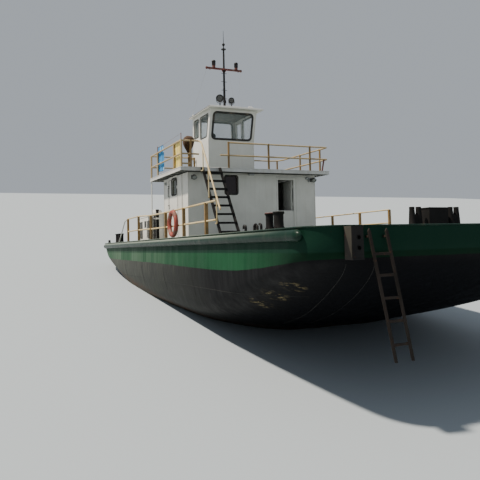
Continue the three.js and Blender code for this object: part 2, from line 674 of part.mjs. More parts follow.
// A plate in the leaning plane of the front windows: y across, height up the slope from the knuckle
function inFrontPlane(geometry, offset) {
  const g = geometry.clone();
  g.applyMatrix4(new THREE.Matrix4().set(0, 0, 1, 0, 1, 0, 0, 0, 0, 1, 0, 0, 0, 0, 0, 1));
  g.translate(offset, 0, 0);
  g.rotateY(cabLean);
  return g.translate(cabFore, 0, cabKnuckle);
}

const cabWindow = { width: 1680, low: 75, high: 1110, radius: 140 };
const cabWindowShape =
  roundedShape(0, (cabWindow.low + cabWindow.high) / 2, cabWindow.width, cabWindow.high - cabWindow.low,
    cabWindow.radius);
const cabDoor = { aft: -2400, fore: -1690, z0: upperTop + 60, z1: 5000 };
const cabAftWindow = { halfWidth: 800, z: 4540, height: 920, radius: 160 };

function buildWheelhouse() {
  const low = upperTop + gap;
  const high = cabTop - gap;
  const w = cabHalfWidth;
  const t = cabWall;
  const frontOuter = solid(acrossY(polygon([
    [cabFore - t, low], [cabFore, low], [cabFore, cabKnuckle], [cabFrontTop, high],
    [cabFrontTop - t, high], [cabFore - t, cabKnuckle],
  ]), -w, 2 * w));
  const window = inFrontPlane(extruded(cabWindowShape, 200), -130);
  part(houseGroup, "wheelhouse_wall_front", cut(frontOuter, [window]), houseWhite);

  const inner = polygon(cabProfile(t + gap, low, high));
  for (const [name, side] of [["starboard", -1], ["port", 1]]) {
    const y = side < 0 ? -w : w - t;
    const door = box(cabDoor.aft, cabDoor.fore, y - 10, y + t + 10, cabDoor.z0, cabDoor.z1);
    const window = (k) => acrossY(sideWindowShape(sideWindows[k]), y - 10, t + 20);
    const holes = side < 0 ? [window(0), window(1)] : [window(0), door];
    part(houseGroup, "wheelhouse_wall_" + name, cut(solid(acrossY(inner, y, t)), holes), houseWhite);
  }
  const { halfWidth, z, height, radius } = cabAftWindow;
  const aft = cut(solid(box(cabAft, cabAft + t, -w, w, low, high)), [
    acrossX(roundedShape(0, z, 2 * halfWidth, height, radius), cabAft - 10, t + 20),
  ]);
  part(houseGroup, "wheelhouse_wall_aft", aft, houseWhite);

  const c = doorClear;
  const leaf = box(cabDoor.aft + c, cabDoor.fore - c, w - t + 3, w - 3, cabDoor.z0 + c, cabDoor.z1 - c);
  const pane = roundedShape((cabDoor.aft + cabDoor.fore) / 2, 4490, 480, 840, 80);
  const hinges = hingeSet(cabDoor.aft - hinge.past, w - t - hinge.off, 1, w - t + 5, [2760, 3720, 4780]);
  const door = cut(joined([leaf, ...hinges]), [acrossY(pane, w - t - 60, t + 100)]);
  part(houseGroup, "wheelhouse_door", door, houseWhite);
  part(houseGroup, "wheelhouse_roof",
    box(roofAft, roofFore, -roofHalfWidth, roofHalfWidth, cabTop, cabTop + roofThick), houseWhite);
}

function buildWheelhouseGlass() {
  const w = cabHalfWidth;
  const t = cabWall;
  const inside = -t * Math.cos(cabLean) - 8 - gap;
  const front = inFrontPlane(extruded(roundedShape(0, 592, 1780, 1110, 60), 8), inside);
  part(houseGroup, "wheelhouse_glass_front", front, glassTint);
  for (const [name, y, aftEdge] of [["starboard", -w + t + gap, -2400], ["port", w - t - gap - 8, -1640]]) {
    const pane = polygon([[aftEdge, 3960], [-750, 3960], [-480, 4990], [aftEdge, 4990]]);
    part(houseGroup, "wheelhouse_glass_" + name, acrossY(pane, y, 8), glassTint);
  }
  const aft = box(cabAft + t + gap, cabAft + t + 8, -cabAftWindow.halfWidth - 60, cabAftWindow.halfWidth + 60,
    cabAftWindow.z - cabAftWindow.height / 2 - 60, cabAftWindow.z + cabAftWindow.height / 2 + 50);
  part(houseGroup, "wheelhouse_glass_aft", aft, glassTint);
  const [doorAft, doorFore] = [cabDoor.aft + 85, cabDoor.fore - 60];
  const door = box(doorAft, doorFore, w - t - 5, w - t + 3 - gap, 4020, 4960);
  part(houseGroup, "wheelhouse_door_glass", door, glassTint);
}

// Helm: a console with a sloped top, and the wheel before it
const helmWheel = { x: -1290, z: 3700, radius: 300 };
function buildHelm() {
  const low = upperTop + gap;
  const desk = polygon([[-1150, low], [-720, low], [-720, 3640], [-1150, 3520]]);
  const post = bar([-1120, 0, helmWheel.z - 200], [helmWheel.x + 32, 0, helmWheel.z - 200], 34, 10);
  part(houseGroup, "helm_console", joined([acrossY(desk, -620, 1240), post]), houseWhite);
  const rim = new THREE.TorusGeometry(helmWheel.radius - 18, 18, 6, 20).rotateY(Math.PI / 2);
  const pieces = [rim, bar([-32, 0, 0], [32, 0, 0], 55, 12)];
  for (let k = 0; k < 3; k++) {
    const turn = (k / 3) * Math.PI;
    const [y, z] = [(helmWheel.radius - 20) * Math.cos(turn), (helmWheel.radius - 20) * Math.sin(turn)];
    pieces.push(bar([0, -y, -z], [0, y, z], 13));
  }
  const mesh = part(houseGroup, "helm_wheel", joined(pieces), darkSteel);
  mesh.position.set(helmWheel.x - gap, 0, helmWheel.z - 200);
}

// Mast with its crossarm, lamps and whip aerial
const mast = { x: -790, y: -195, base: cabTop + roofThick + gap, top: 7700, arm: 6880, armHalf: 755 };
function buildMast() {
  const { x, y, base, top, arm, armHalf } = mast;
  const pieces = [
    bar([x, y, base], [x, y, base + 30], 120, 14),
    bar([x, y, base + 10], [x, y, top], 48, 10, 34),
    box(x - 24, x + 24, y - armHalf, y + armHalf, arm - 40, arm + 40),
    acrossX(polygon([[y - 130, arm], [y, arm - 210], [y + 130, arm]]), x - 8, 16),
    bar([x, y, top - 5], [x, y, top + 35], 100, 14),
    bar([x, y, top + 30], [x, y, top + 160], 22, 8),
    ball([x, y, top + 210], 60, 10),
    bar([x, y, top + 240], [x, y, top + 780], 14, 6, 9),
  ];
  for (const side of [-1, 1]) pieces.push(ball([x, y + side * armHalf, arm], 50, 8));
  for (const lampY of [y - 445, y + 545]) {
    pieces.push(bar([x, lampY, arm + 30], [x, lampY, arm + 80], 60, 12));
    pieces.push(bar([x, lampY, arm + 70], [x, lampY, arm + 310], 75, 12));
    pieces.push(bar([x, lampY, arm + 300], [x, lampY, arm + 340], 84, 12));
  }
  part(houseGroup, "mast", joined(pieces), darkSteel);
}

// Searchlights on the roof: a drum on a pin, turning about it, turned a little to starboard.
// Columns: name, y, drum radius, height of the drum
const searchlightX = -420;
const searchlightTurn = THREE.MathUtils.degToRad(-25);
const searchlights = [["searchlight_starboard", -540, 155, 382], ["searchlight_port", -37, 125, 328]];
function buildSearchlights() {
  for (const [name, y, radius, height] of searchlights) {
    const drum = bar([-110, 0, height], [120, 0, height], radius * 0.82, 18, radius);
    const yoke = box(-22, 22, -radius * 0.5, radius * 0.5, height - radius - 26, height - radius * 0.6);
    const pin = bar([0, 0, gap], [0, 0, height - radius - 10], 26, 10);
    const mesh = part(houseGroup, name, joined([drum, yoke, pin]), darkSteel);
    mesh.position.set(searchlightX, y, cabTop + roofThick);
    mesh.rotation.z = searchlightTurn;
  }
}

// Deck lamp on its pedestal, under a canvas cover. The cover's outline is radius and height about the head.
const deckLamp = { x: 1250, y: -2440, head: 3445, coverFoot: -460 };
const coverOutline = [
  [0, deckLamp.coverFoot], [45, deckLamp.coverFoot], [70, -360], [130, -240], [185, -120], [212, 0],
  [200, 100], [140, 170], [0, 205],
];
function buildDeckLamp() {
  const { x, y, head, coverFoot } = deckLamp;
  part(houseGroup, "lamp_pedestal", joined([
    bar([x, y, upperTop + gap], [x, y, upperTop + 24], 110, 12),
    bar([x, y, upperTop + 15], [x, y, head + coverFoot - gap], 34, 10),
  ]), darkSteel);
  const cover = new THREE.LatheGeometry(coverOutline.map(([r, z]) => new THREE.Vector2(r, z)), 16);
  part(houseGroup, "lamp_cover", cover.rotateX(Math.PI / 2).translate(x, y, head), canvasBrown);
}

// Two cloths hung inside the starboard upper rail, against its posts.
// Columns: name, aft edge, fore edge, foot and top above the deck, material
const clothTable = [
  ["rail_cloth_blue", -1290, -300, 161, 1141, clothBlue],
  ["rail_cloth_yellow", 930, 1845, 31, 951, clothYellow],
];
function buildRailCloths() {
  for (const [name, aft, fore, foot, top, material] of clothTable) {
    const y = -railSide + railPost + gap;
    part(houseGroup, name, box(aft, fore, y, y + 14, upperTop + foot, upperTop + top), material);
  }
}

// Floodlamps on arms under the front edge of the upper deck. Columns: name, y
function buildFloodLamps() {
  for (const [name, y] of [["flood_lamp_starboard", -2400], ["flood_lamp_port", 2450]]) {
    const x = houseHalfLength;
    const pieces = [
      box(x + gap, x + 14, y - 60, y + 60, 2060, 2200),
      bar([x + 8, y, 2150], [x + 150, y, 2150], 14, 8),
      bar([x + 120, y, 2170], [x + 215, y, 2090], 62, 12, 90),
    ];
    part(houseGroup, name, joined(pieces), darkSteel);
  }
}

buildHull();
buildFenders();
buildKnees();
buildLadder();
buildBollards();
buildBitts();
buildDeckRail("starboard", -1, deckRailStarboard, railPastPost);
buildDeckRail("port", 1, deckRailPort, 0);
buildLifeRing();
buildCasing();
buildVentBox();
buildPropellers();
buildRudders();
buildStair();
buildHouse();
buildHouseDoors();
buildHouseGlass();
buildUpperDeck();
buildUpperRail();
buildWheelhouse();
buildWheelhouseGlass();
buildHelm();
buildMast();
buildSearchlights();
buildDeckLamp();
buildRailCloths();
buildFloodLamps();

export default root;
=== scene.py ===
import math

import bmesh
import bpy
from mathutils import Matrix, Vector


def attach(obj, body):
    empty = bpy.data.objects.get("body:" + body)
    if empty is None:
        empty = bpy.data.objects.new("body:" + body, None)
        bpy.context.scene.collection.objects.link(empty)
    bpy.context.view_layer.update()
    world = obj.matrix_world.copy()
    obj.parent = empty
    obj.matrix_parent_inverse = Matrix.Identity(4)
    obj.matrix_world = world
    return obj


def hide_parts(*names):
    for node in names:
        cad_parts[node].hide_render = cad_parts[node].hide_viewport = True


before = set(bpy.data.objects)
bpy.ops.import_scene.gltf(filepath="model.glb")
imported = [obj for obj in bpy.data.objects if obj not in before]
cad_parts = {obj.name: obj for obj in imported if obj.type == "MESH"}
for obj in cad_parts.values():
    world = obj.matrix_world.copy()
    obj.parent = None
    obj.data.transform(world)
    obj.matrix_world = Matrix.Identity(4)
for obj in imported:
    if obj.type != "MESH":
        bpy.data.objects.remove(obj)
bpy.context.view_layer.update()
print("frame loaded,", len(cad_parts), "nodes")

# The boat floats down by the stern: hull pieces are drawn level in hullFrame, the deckhouse and
# everything on it in houseFrame, and each is turned to its trim as it is finished.
trim = {"hull": 6.65, "house": 1.08, "deck": 2.19, "houseX": -2.91, "houseFloor": 0.098}
hullFrame = Matrix.Rotation(math.radians(-trim["hull"]), 4, "Y")
houseFrame = (
    hullFrame
    @ Matrix.Translation((trim["houseX"], 0, trim["deck"] + trim["houseFloor"]))
    @ Matrix.Rotation(math.radians(trim["house"]), 4, "Y")
)
deck = trim["deck"]
# Pieces that stand on the deck start 0.3 mm over its plate
deckSeat = deck + 0.0003


def deckInHouse(x):
    return x * math.tan(math.radians(trim["house"])) - trim["houseFloor"]


# Camera, floor and light

cameraView = {
    "eye": (16.995, -8.689, 3.905),
    "heading": 23.328,
    "pitch": 2.774,
    "roll": 1.086,
    "lens": 41.793,
    "shift": (0.00104, -0.0552),
}


def makeCamera(settings):
    heading, pitch, roll = (math.radians(settings[k]) for k in ("heading", "pitch", "roll"))
    level = Vector((-math.cos(heading), math.sin(heading), 0))
    side = Vector((math.sin(heading), math.cos(heading), 0))
    ahead = level * math.cos(pitch) - Vector((0, 0, math.sin(pitch)))
    over = level * math.sin(pitch) + Vector((0, 0, math.cos(pitch)))
    right = side * math.cos(roll) + over * math.sin(roll)
    up = over * math.cos(roll) - side * math.sin(roll)
    data = bpy.data.cameras.new("photoView")
    data.sensor_width = 36
    data.lens = settings["lens"]
    data.shift_x, data.shift_y = settings["shift"]
    data.clip_end = 500
    camera = bpy.data.objects.new("photoView", data)
    turned = Matrix((right, up, -ahead)).transposed().to_4x4()
    camera.matrix_world = Matrix.Translation(settings["eye"]) @ turned
    bpy.context.scene.collection.objects.link(camera)
    bpy.context.scene.camera = camera


makeCamera(cameraView)

studio = {
    "floorSize": 400.0,
    "floorColor": (0.34, 0.385, 0.42, 1),
    "skyColor": (0.80, 0.87, 0.95, 1),
    "skyStrength": 0.50,
    "sunFrom": (-2.0, -4.6, 8.8),
    "sunStrength": 7.2,
    "sunSoftness": 3.0,
    "sunColor": (1.0, 0.90, 0.77),
    "fillFrom": (14.0, -3.0, 7.0),
    "fillStrength": 0.12,
}


def makeStudio(settings):
    half = settings["floorSize"] / 2
    mesh = bpy.data.meshes.new("waterlineFloor")
    corners = [(-half, -half, 0), (half, -half, 0), (half, half, 0), (-half, half, 0)]
    mesh.from_pydata(corners, [], [(0, 1, 2, 3)])
    floor = bpy.data.objects.new("waterlineFloor", mesh)
    bpy.context.scene.collection.objects.link(floor)
    material = bpy.data.materials.new("paleFloor")
    material.use_nodes = True
    shader = material.node_tree.nodes["Principled BSDF"]
    shader.inputs["Base Color"].default_value = settings["floorColor"]
    shader.inputs["Roughness"].default_value = 0.7
    mesh.materials.append(material)

    world = bpy.data.worlds.new("softSky")
    world.use_nodes = True
    background = world.node_tree.nodes["Background"]
    background.inputs["Color"].default_value = settings["skyColor"]
    background.inputs["Strength"].default_value = settings["skyStrength"]
    bpy.context.scene.world = world

    for name, place, strength, softness, color in (
        ("sun", settings["sunFrom"], settings["sunStrength"], settings["sunSoftness"], settings["sunColor"]),
        ("fill", settings["fillFrom"], settings["fillStrength"], 60.0, (0.85, 0.92, 1.0)),
    ):
        data = bpy.data.lights.new(name, "SUN")
        data.energy = strength
        data.angle = math.radians(softness)
        data.color = color
        light = bpy.data.objects.new(name, data)
        light.rotation_mode = "QUATERNION"
        light.rotation_quaternion = Vector(place).to_track_quat("Z", "Y")
        bpy.context.scene.collection.objects.link(light)


makeStudio(studio)
print("camera, floor and light")


# Materials

def addNode(tree, kind, values=None, **settings):
    node = tree.nodes.new(kind)
    for key, value in settings.items():
        setattr(node, key, value)
    for key, value in (values or {}).items():
        if isinstance(value, bpy.types.NodeSocket):
            tree.links.new(value, node.inputs[key])
        else:
            node.inputs[key].default_value = value
    return node


def startMaterial(name):
    material = bpy.data.materials.new(name)
    material.use_nodes = True
    tree = material.node_tree
    shader = tree.nodes["Principled BSDF"]
    coordinates = addNode(tree, "ShaderNodeTexCoord").outputs["Object"]
    return material, tree, shader, coordinates


def noise(tree, where, scale, detail=4.0, roughness=0.55, stretch=(1, 1, 1)):
    if stretch != (1, 1, 1):
        where = addNode(tree, "ShaderNodeMapping", {"Vector": where, "Scale": stretch}).outputs["Vector"]
    values = {"Vector": where, "Scale": scale, "Detail": detail, "Roughness": roughness}
    return addNode(tree, "ShaderNodeTexNoise", values).outputs["Fac"]


def between(tree, value, low, high, toLow=0.0, toHigh=1.0):
    values = {"Value": value, "From Min": low, "From Max": high, "To Min": toLow, "To Max": toHigh}
    return addNode(tree, "ShaderNodeMapRange", values).outputs["Result"]


def times(tree, a, b):
    return addNode(tree, "ShaderNodeMath", {0: a, 1: b}, operation="MULTIPLY").outputs[0]


def blended(tree, share, a, b):
    node = tree.nodes.new("ShaderNodeMix")
    node.data_type = "RGBA"
    for index, value in ((0, share), (6, a), (7, b)):
        if isinstance(value, bpy.types.NodeSocket):
            tree.links.new(value, node.inputs[index])
        elif index:
            node.inputs[index].default_value = (*value, 1)
        else:
            node.inputs[index].default_value = value
    return node.outputs[2]


def addBump(tree, shader, height, distance, strength=0.6):
    bump = addNode(tree, "ShaderNodeBump", {"Height": height, "Distance": distance, "Strength": strength})
    tree.links.new(bump.outputs["Normal"], shader.inputs["Normal"])


# Marine paint: cloudy colour, streaks that run down, and rust that breaks through; where given, a painted
# highlight on upward faces
def paintedSteel(name, s):
    material, tree, shader, where = startMaterial(name)
    clouds = noise(tree, where, s.get("cloudScale", 1.6), 5)
    color = blended(tree, between(tree, clouds, 0.35, 0.7), s["base"], s["faded"])
    streaks = noise(tree, where, s.get("streakScale", 7.0), 4, 0.6, (1, 1, 0.07))
    runs = times(tree, between(tree, streaks, 0.52, 0.75), s.get("streak", 0.5))
    color = blended(tree, runs, color, s.get("streakColor", (0.25, 0.2, 0.14)))
    spots = noise(tree, where, s.get("rustScale", 14.0), 8, 0.72)
    edge = 0.74 - 0.3 * s.get("rust", 0.2)
    # painted highlight of the sky on upward faces, fading out towards the bow, where the fender is left dark
    # as painted shade
    if "skyHighlight" in s:
        facing = addNode(tree, "ShaderNodeSeparateXYZ",
                         {"Vector": tree.nodes.new("ShaderNodeNewGeometry").outputs["Normal"]})
        along = addNode(tree, "ShaderNodeSeparateXYZ", {"Vector": where}).outputs["X"]
        upper = times(tree, between(tree, facing.outputs["Z"], 0.25, 0.80),
                      between(tree, along, 8.4, 4.0, 0.0, 0.9))
        color = blended(tree, upper, color, s["skyHighlight"])
    rusty = between(tree, spots, edge, edge + 0.04)
    color = blended(tree, rusty, color, s.get("rustColor", (0.12, 0.045, 0.018)))
    tree.links.new(color, shader.inputs["Base Color"])
    rough = between(tree, spots, 0.3, 0.75, s["roughness"] - 0.08, min(1.0, s["roughness"] + 0.2))
    tree.links.new(rough, shader.inputs["Roughness"])
    shader.inputs["Metallic"].default_value = s.get("metallic", 0.0)
    shader.inputs["Specular IOR Level"].default_value = s.get("specular", 0.5)
    fine = noise(tree, where, s.get("grain", 60.0), 3)
    addBump(tree, shader, fine, s.get("bump", 0.0015))
    return material


def clearGlass(name, color, alpha, roughness=0.04):
    material, tree, shader, where = startMaterial(name)
    film = noise(tree, where, 3.0, 4)
    tree.links.new(blended(tree, between(tree, film, 0.3, 0.8), color, [c * 0.8 for c in color]),
                   shader.inputs["Base Color"])
    tree.links.new(between(tree, film, 0.3, 0.8, roughness, roughness + 0.06), shader.inputs["Roughness"])
    tree.links.new(between(tree, film, 0.3, 0.9, alpha, min(1, alpha + 0.06)), shader.inputs["Alpha"])
    return material


def wovenCloth(name, s):
    material, tree, shader, where = startMaterial(name)
    weave = addNode(tree, "ShaderNodeTexWave", {"Vector": where, "Scale": s["weave"], "Distortion": 1.5},
                    bands_direction="Z").outputs["Fac"]
    across = addNode(tree, "ShaderNodeTexWave", {"Vector": where, "Scale": s["weave"], "Distortion": 1.5},
                     bands_direction="X").outputs["Fac"]
    cloth = times(tree, weave, across)
    stain = noise(tree, where, s.get("stainScale", 4.0), 5)
    color = blended(tree, between(tree, stain, 0.35, 0.75), s["base"], s["faded"])
    if "stripe" in s:
        stripes = noise(tree, where, s["stripeScale"], 2, 0.5, s["stripeStretch"])
        color = blended(tree, between(tree, stripes, 0.6, 0.64, 0.0, 0.7), color, s["stripe"])
    tree.links.new(blended(tree, times(tree, cloth, 0.35), color, [c * 0.6 for c in s["base"]]),
                   shader.inputs["Base Color"])
    shader.inputs["Roughness"].default_value = 0.92
    shader.inputs["Sheen Weight"].default_value = 0.05
    addBump(tree, shader, cloth, 0.002)
    return material


# The two colours that each paint is cloudy between, with its sizes and shares
paints = {
    "housePaint": {
        "base": (0.71, 0.70, 0.65), "faded": (0.62, 0.61, 0.56), "roughness": 0.42, "streak": 0.16,
        "streakColor": (0.36, 0.31, 0.24), "rust": 0.02, "rustScale": 5.0, "bump": 0.002, "grain": 18.0,
        "rustColor": (0.42, 0.33, 0.24)},
    "cabPaint": {
        "base": (0.74, 0.73, 0.68), "faded": (0.66, 0.65, 0.60), "roughness": 0.4, "streak": 0.12,
        "streakColor": (0.42, 0.36, 0.28), "rust": 0.0, "rustScale": 5.0, "bump": 0.002, "grain": 18.0},
    "fasciaPaint": {
        "base": (0.58, 0.58, 0.56), "faded": (0.46, 0.46, 0.44), "roughness": 0.5, "streak": 0.3,
        "rust": 0.15, "rustColor": (0.25, 0.14, 0.08)},
    "deckPaint": {
        "base": (0.055, 0.085, 0.07), "faded": (0.11, 0.13, 0.115), "roughness": 0.75, "streak": 0.2,
        "rust": 0.35, "rustScale": 5.0, "bump": 0.003, "grain": 90.0},
    # a darker copy of the rail paint for the posts and the lamp pedestal: painted shade
    "railPost": {
        "base": (0.25, 0.145, 0.040), "faded": (0.17, 0.11, 0.04), "roughness": 0.55, "rust": 0.4,
        "rustScale": 18.0, "streak": 0.5, "cloudScale": 4.0},
    "railOlive": {
        "base": (0.36, 0.25, 0.11), "faded": (0.44, 0.36, 0.22), "roughness": 0.55, "rust": 0.35,
        "rustScale": 16.0, "streak": 0.4, "cloudScale": 2.5},
    "railPipe": {
        "base": (0.50, 0.36, 0.15), "faded": (0.60, 0.50, 0.30), "roughness": 0.5, "rust": 0.3,
        "rustScale": 16.0, "streak": 0.3, "cloudScale": 2.5},
    "blackSteel": {
        "base": (0.009, 0.009, 0.009), "faded": (0.020, 0.018, 0.017), "roughness": 0.55, "rust": 0.35,
        "rustColor": (0.04, 0.02, 0.012), "rustScale": 10.0, "streak": 0.0, "specular": 0.12},
    "kneeWorn": {
        "base": (0.026, 0.024, 0.020), "faded": (0.052, 0.048, 0.040), "roughness": 0.75, "rust": 0.35,
        "rustColor": (0.05, 0.028, 0.018), "streak": 0.1, "specular": 0.12},
    "ladderSteel": {
        "base": (0.014, 0.011, 0.009), "faded": (0.03, 0.022, 0.018), "roughness": 0.7, "rust": 0.5,
        "rustColor": (0.06, 0.03, 0.018), "streak": 0.1, "specular": 0.15},
    "mastBlack": {
        "base": (0.008, 0.008, 0.008), "faded": (0.018, 0.017, 0.016), "roughness": 0.45, "rust": 0.2,
        "streak": 0.15, "specular": 0.2},
    "mastRed": {
        "base": (0.13, 0.024, 0.018), "faded": (0.085, 0.02, 0.016), "roughness": 0.6, "rust": 0.5,
        "rustScale": 20.0},
    "capRed": {
        "base": (0.16, 0.035, 0.03), "faded": (0.10, 0.03, 0.025), "roughness": 0.6, "rust": 0.4},
    # the lighter colour on the fender's upper faces is a painted highlight
    "fenderPaint": {
        "base": (0.004, 0.018, 0.012), "faded": (0.008, 0.026, 0.018), "roughness": 0.30, "rust": 0.12,
        "rustScale": 9.0, "streak": 0.08, "specular": 0.10, "skyHighlight": (0.21, 0.245, 0.205), "bump": 0.002,
        "grain": 12.0},
    "bronze": {
        "base": (0.42, 0.27, 0.10), "faded": (0.25, 0.20, 0.10), "roughness": 0.35, "metallic": 0.9,
        "rust": 0.1, "rustColor": (0.08, 0.14, 0.10)},
    "galvanised": {
        "base": (0.42, 0.43, 0.43), "faded": (0.30, 0.31, 0.31), "roughness": 0.4, "metallic": 0.7},
    "rubber": {
        "base": (0.012, 0.012, 0.012), "faded": (0.022, 0.021, 0.02), "roughness": 0.62, "rust": 0.0},
    "ringShell": {
        "base": (0.32, 0.050, 0.026), "faded": (0.24, 0.042, 0.026), "roughness": 0.5, "rust": 0.0,
        "streak": 0.4, "streakColor": (0.16, 0.05, 0.03)},
    "ringBand": {
        "base": (0.23, 0.10, 0.07), "faded": (0.16, 0.07, 0.05), "roughness": 0.7, "rust": 0.0},
    # dark grey for inner parts, also a painted shade on the upper deck's underside
    "interior": {
        "base": (0.085, 0.09, 0.085), "faded": (0.065, 0.07, 0.065), "roughness": 0.6, "rust": 0.0},
    "hullWeld": {
        "base": (0.016, 0.017, 0.016), "faded": (0.028, 0.028, 0.026), "roughness": 0.6, "rust": 0.3,
        "specular": 0.2, "streak": 0.1, "rustColor": (0.09, 0.05, 0.025)},
}

# Colour, the share that the glass hides, and roughness
glasses = {
    "cabGlass": ((0.50, 0.60, 0.58), 0.09),
    # dark red of the house's front window is a painted reflection; the mast lamps' red glass takes it too
    "redGlassAndReflection": ((0.018, 0.006, 0.005), 0.96, 0.12),
    "sideGlass": ((0.09, 0.10, 0.07), 0.72, 0.06),
    "lampGlass": ((0.10, 0.105, 0.10), 0.7, 0.08),
    "lens": ((0.62, 0.66, 0.66), 0.45, 0.08),
}

fabrics = {
    "canvas": {
        "base": (0.085, 0.042, 0.018), "faded": (0.045, 0.024, 0.013), "weave": 120.0, "stainScale": 7.0},
    "clothBlue": {
        "base": (0.025, 0.20, 0.46), "faded": (0.055, 0.28, 0.54), "weave": 110.0,
        "stripe": (0.5, 0.72, 0.86),
        "stripeScale": 9.0, "stripeStretch": (1.0, 1.0, 0.35)},
    "clothYellow": {
        "base": (0.72, 0.56, 0.13), "faded": (0.80, 0.67, 0.26), "weave": 110.0, "stripe": (0.83, 0.79, 0.55),
        "stripeScale": 9.0, "stripeStretch": (1.0, 1.0, 0.3)},
}

finishes = {name: paintedSteel(name, values) for name, values in paints.items()}
finishes.update({name: clearGlass(name, *values) for name, values in glasses.items()})
finishes.update({name: wovenCloth(name, values) for name, values in fabrics.items()})


hullColors = {
    "green": (0.008, 0.052, 0.022),
    "greenFaded": (0.012, 0.072, 0.030),
    "greenAft": (0.070, 0.122, 0.078),
    # darker green for the painted shade at the bow
    "greenBowShade": (0.003, 0.017, 0.008),
    # dark green for the painted shadow under the fender, also the colour of the dirty runs
    "greenFenderShadowAndRuns": (0.006, 0.026, 0.016),
    "black": (0.006, 0.006, 0.007),
    "chalk": (0.125, 0.135, 0.118),
    "rust": (0.10, 0.042, 0.020),
    "scuff": (0.16, 0.13, 0.065),
    # where the shoulder is scraped: place, depth below the deck, reach
    "scuffed": [(8.1, -3.66, 1.08, 0.30), (7.3, -3.62, 1.30, 0.34), (6.5, -3.58, 1.52, 0.32),
                (7.4, 3.6, 1.3, 0.4)],
    "weed": (0.045, 0.055, 0.03),
}


# Topsides green over black, split by the piece's own paintLine attribute (metres below the line),
# with chalky runs down the side, scuffs and a rusty fringe at the water; a painted shadow in a dark
# strip under the fender, and painted shade that darkens the bow
def hullPaint(c):
    material, tree, shader, where = startMaterial("hullPaint")
    line = addNode(tree, "ShaderNodeAttribute", attribute_name="paintLine").outputs["Fac"]
    below = addNode(tree, "ShaderNodeAttribute", attribute_name="belowDeck").outputs["Fac"]
    wobble = between(tree, noise(tree, where, 3.0, 4), 0.0, 1.0, -0.012, 0.012)
    edge = addNode(tree, "ShaderNodeMath", {0: line, 1: wobble}).outputs[0]
    isBlack = between(tree, edge, -0.004, 0.004)
    clouds = noise(tree, where, 0.9, 5)
    runs = noise(tree, where, 4.2, 5, 0.62, (1, 1, 0.06))
    fineRuns = noise(tree, where, 16.0, 4, 0.6, (1, 1, 0.05))
    green = blended(tree, between(tree, clouds, 0.35, 0.7), c["green"], c["greenFaded"])
    along = addNode(tree, "ShaderNodeSeparateXYZ", {"Vector": where})
    patches = noise(tree, where, 0.8, 3, 0.5, (1, 1, 0.15))
    faded = times(tree, between(tree, along.outputs["X"], 4.5, -6.0),
                  between(tree, patches, 0.42, 0.52, 0.35, 1.0))
    green = blended(tree, faded, green, c["greenAft"])
    # painted shade: the green turns darker towards the bow
    green = blended(tree, between(tree, along.outputs["X"], 6.6, 8.7), green, c["greenBowShade"])
    # painted shadow of the fender: a dark strip of green just under it, stronger forward
    green = blended(tree, times(tree, between(tree, below, 0.44, 0.41),
                                between(tree, along.outputs["X"], -8.0, 2.0, 0.35, 0.95)),
                    green, c["greenFenderShadowAndRuns"])
    green = blended(tree, times(tree, between(tree, runs, 0.5, 0.72), 0.25), green, c["greenFenderShadowAndRuns"])
    # the chalky runs fade out towards the bow, which stays near black as painted shade
    runsOffShadedBow = between(tree, along.outputs["X"], 4.8, -6.5, 0.0, 1.0)
    black = blended(tree, times(tree, between(tree, runs, 0.42, 0.72, 0.35, 0.9), runsOffShadedBow), c["black"],
                    c["chalk"])
    black = blended(tree, times(tree, between(tree, fineRuns, 0.5, 0.75, 0.0, 0.5), runsOffShadedBow), black,
                    c["chalk"])
    scuffs = between(tree, noise(tree, where, 9.0, 7, 0.75, (0.5, 0.5, 1.7)), 0.53, 0.57)
    for x, y, depth, reach in c["scuffed"]:
        middle = hullFrame @ Vector((x, y, deck - depth))
        away = addNode(tree, "ShaderNodeVectorMath", {0: where, 1: middle},
                       operation="DISTANCE").outputs["Value"]
        black = blended(tree, times(tree, scuffs, between(tree, away, reach, reach * 0.4)), black, c["scuff"])
    color = blended(tree, isBlack, green, black)
    height = along.outputs["Z"]
    spots = noise(tree, where, 7.0, 8, 0.72)
    wet = times(tree, between(tree, height, 0.34, 0.02), between(tree, spots, 0.42, 0.6))
    color = blended(tree, wet, color, c["rust"])
    weed = times(tree, between(tree, height, 0.09, 0.02), 0.8)
    color = blended(tree, weed, color, c["weed"])
    tree.links.new(blended(tree, between(tree, spots, 0.70, 0.73), color, c["rust"]),
                   shader.inputs["Base Color"])
    tree.links.new(between(tree, runs, 0.3, 0.75, 0.45, 0.7), shader.inputs["Roughness"])
    shader.inputs["Specular IOR Level"].default_value = 0.045
    dents = noise(tree, where, 1.7, 3)
    grain = noise(tree, where, 26.0, 3)
    mixed = addNode(tree, "ShaderNodeMath", {0: times(tree, dents, 6.0), 1: grain}).outputs[0]
    addBump(tree, shader, mixed, 0.004, 0.5)
    return material


finishes["hullPaint"] = hullPaint(hullColors)
print("materials")


# Shapes

# Gives one of the part's own nodes a finish
def repaint(node, finish):
    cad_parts[node].data.materials.clear()
    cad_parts[node].data.materials.append(finishes[finish])


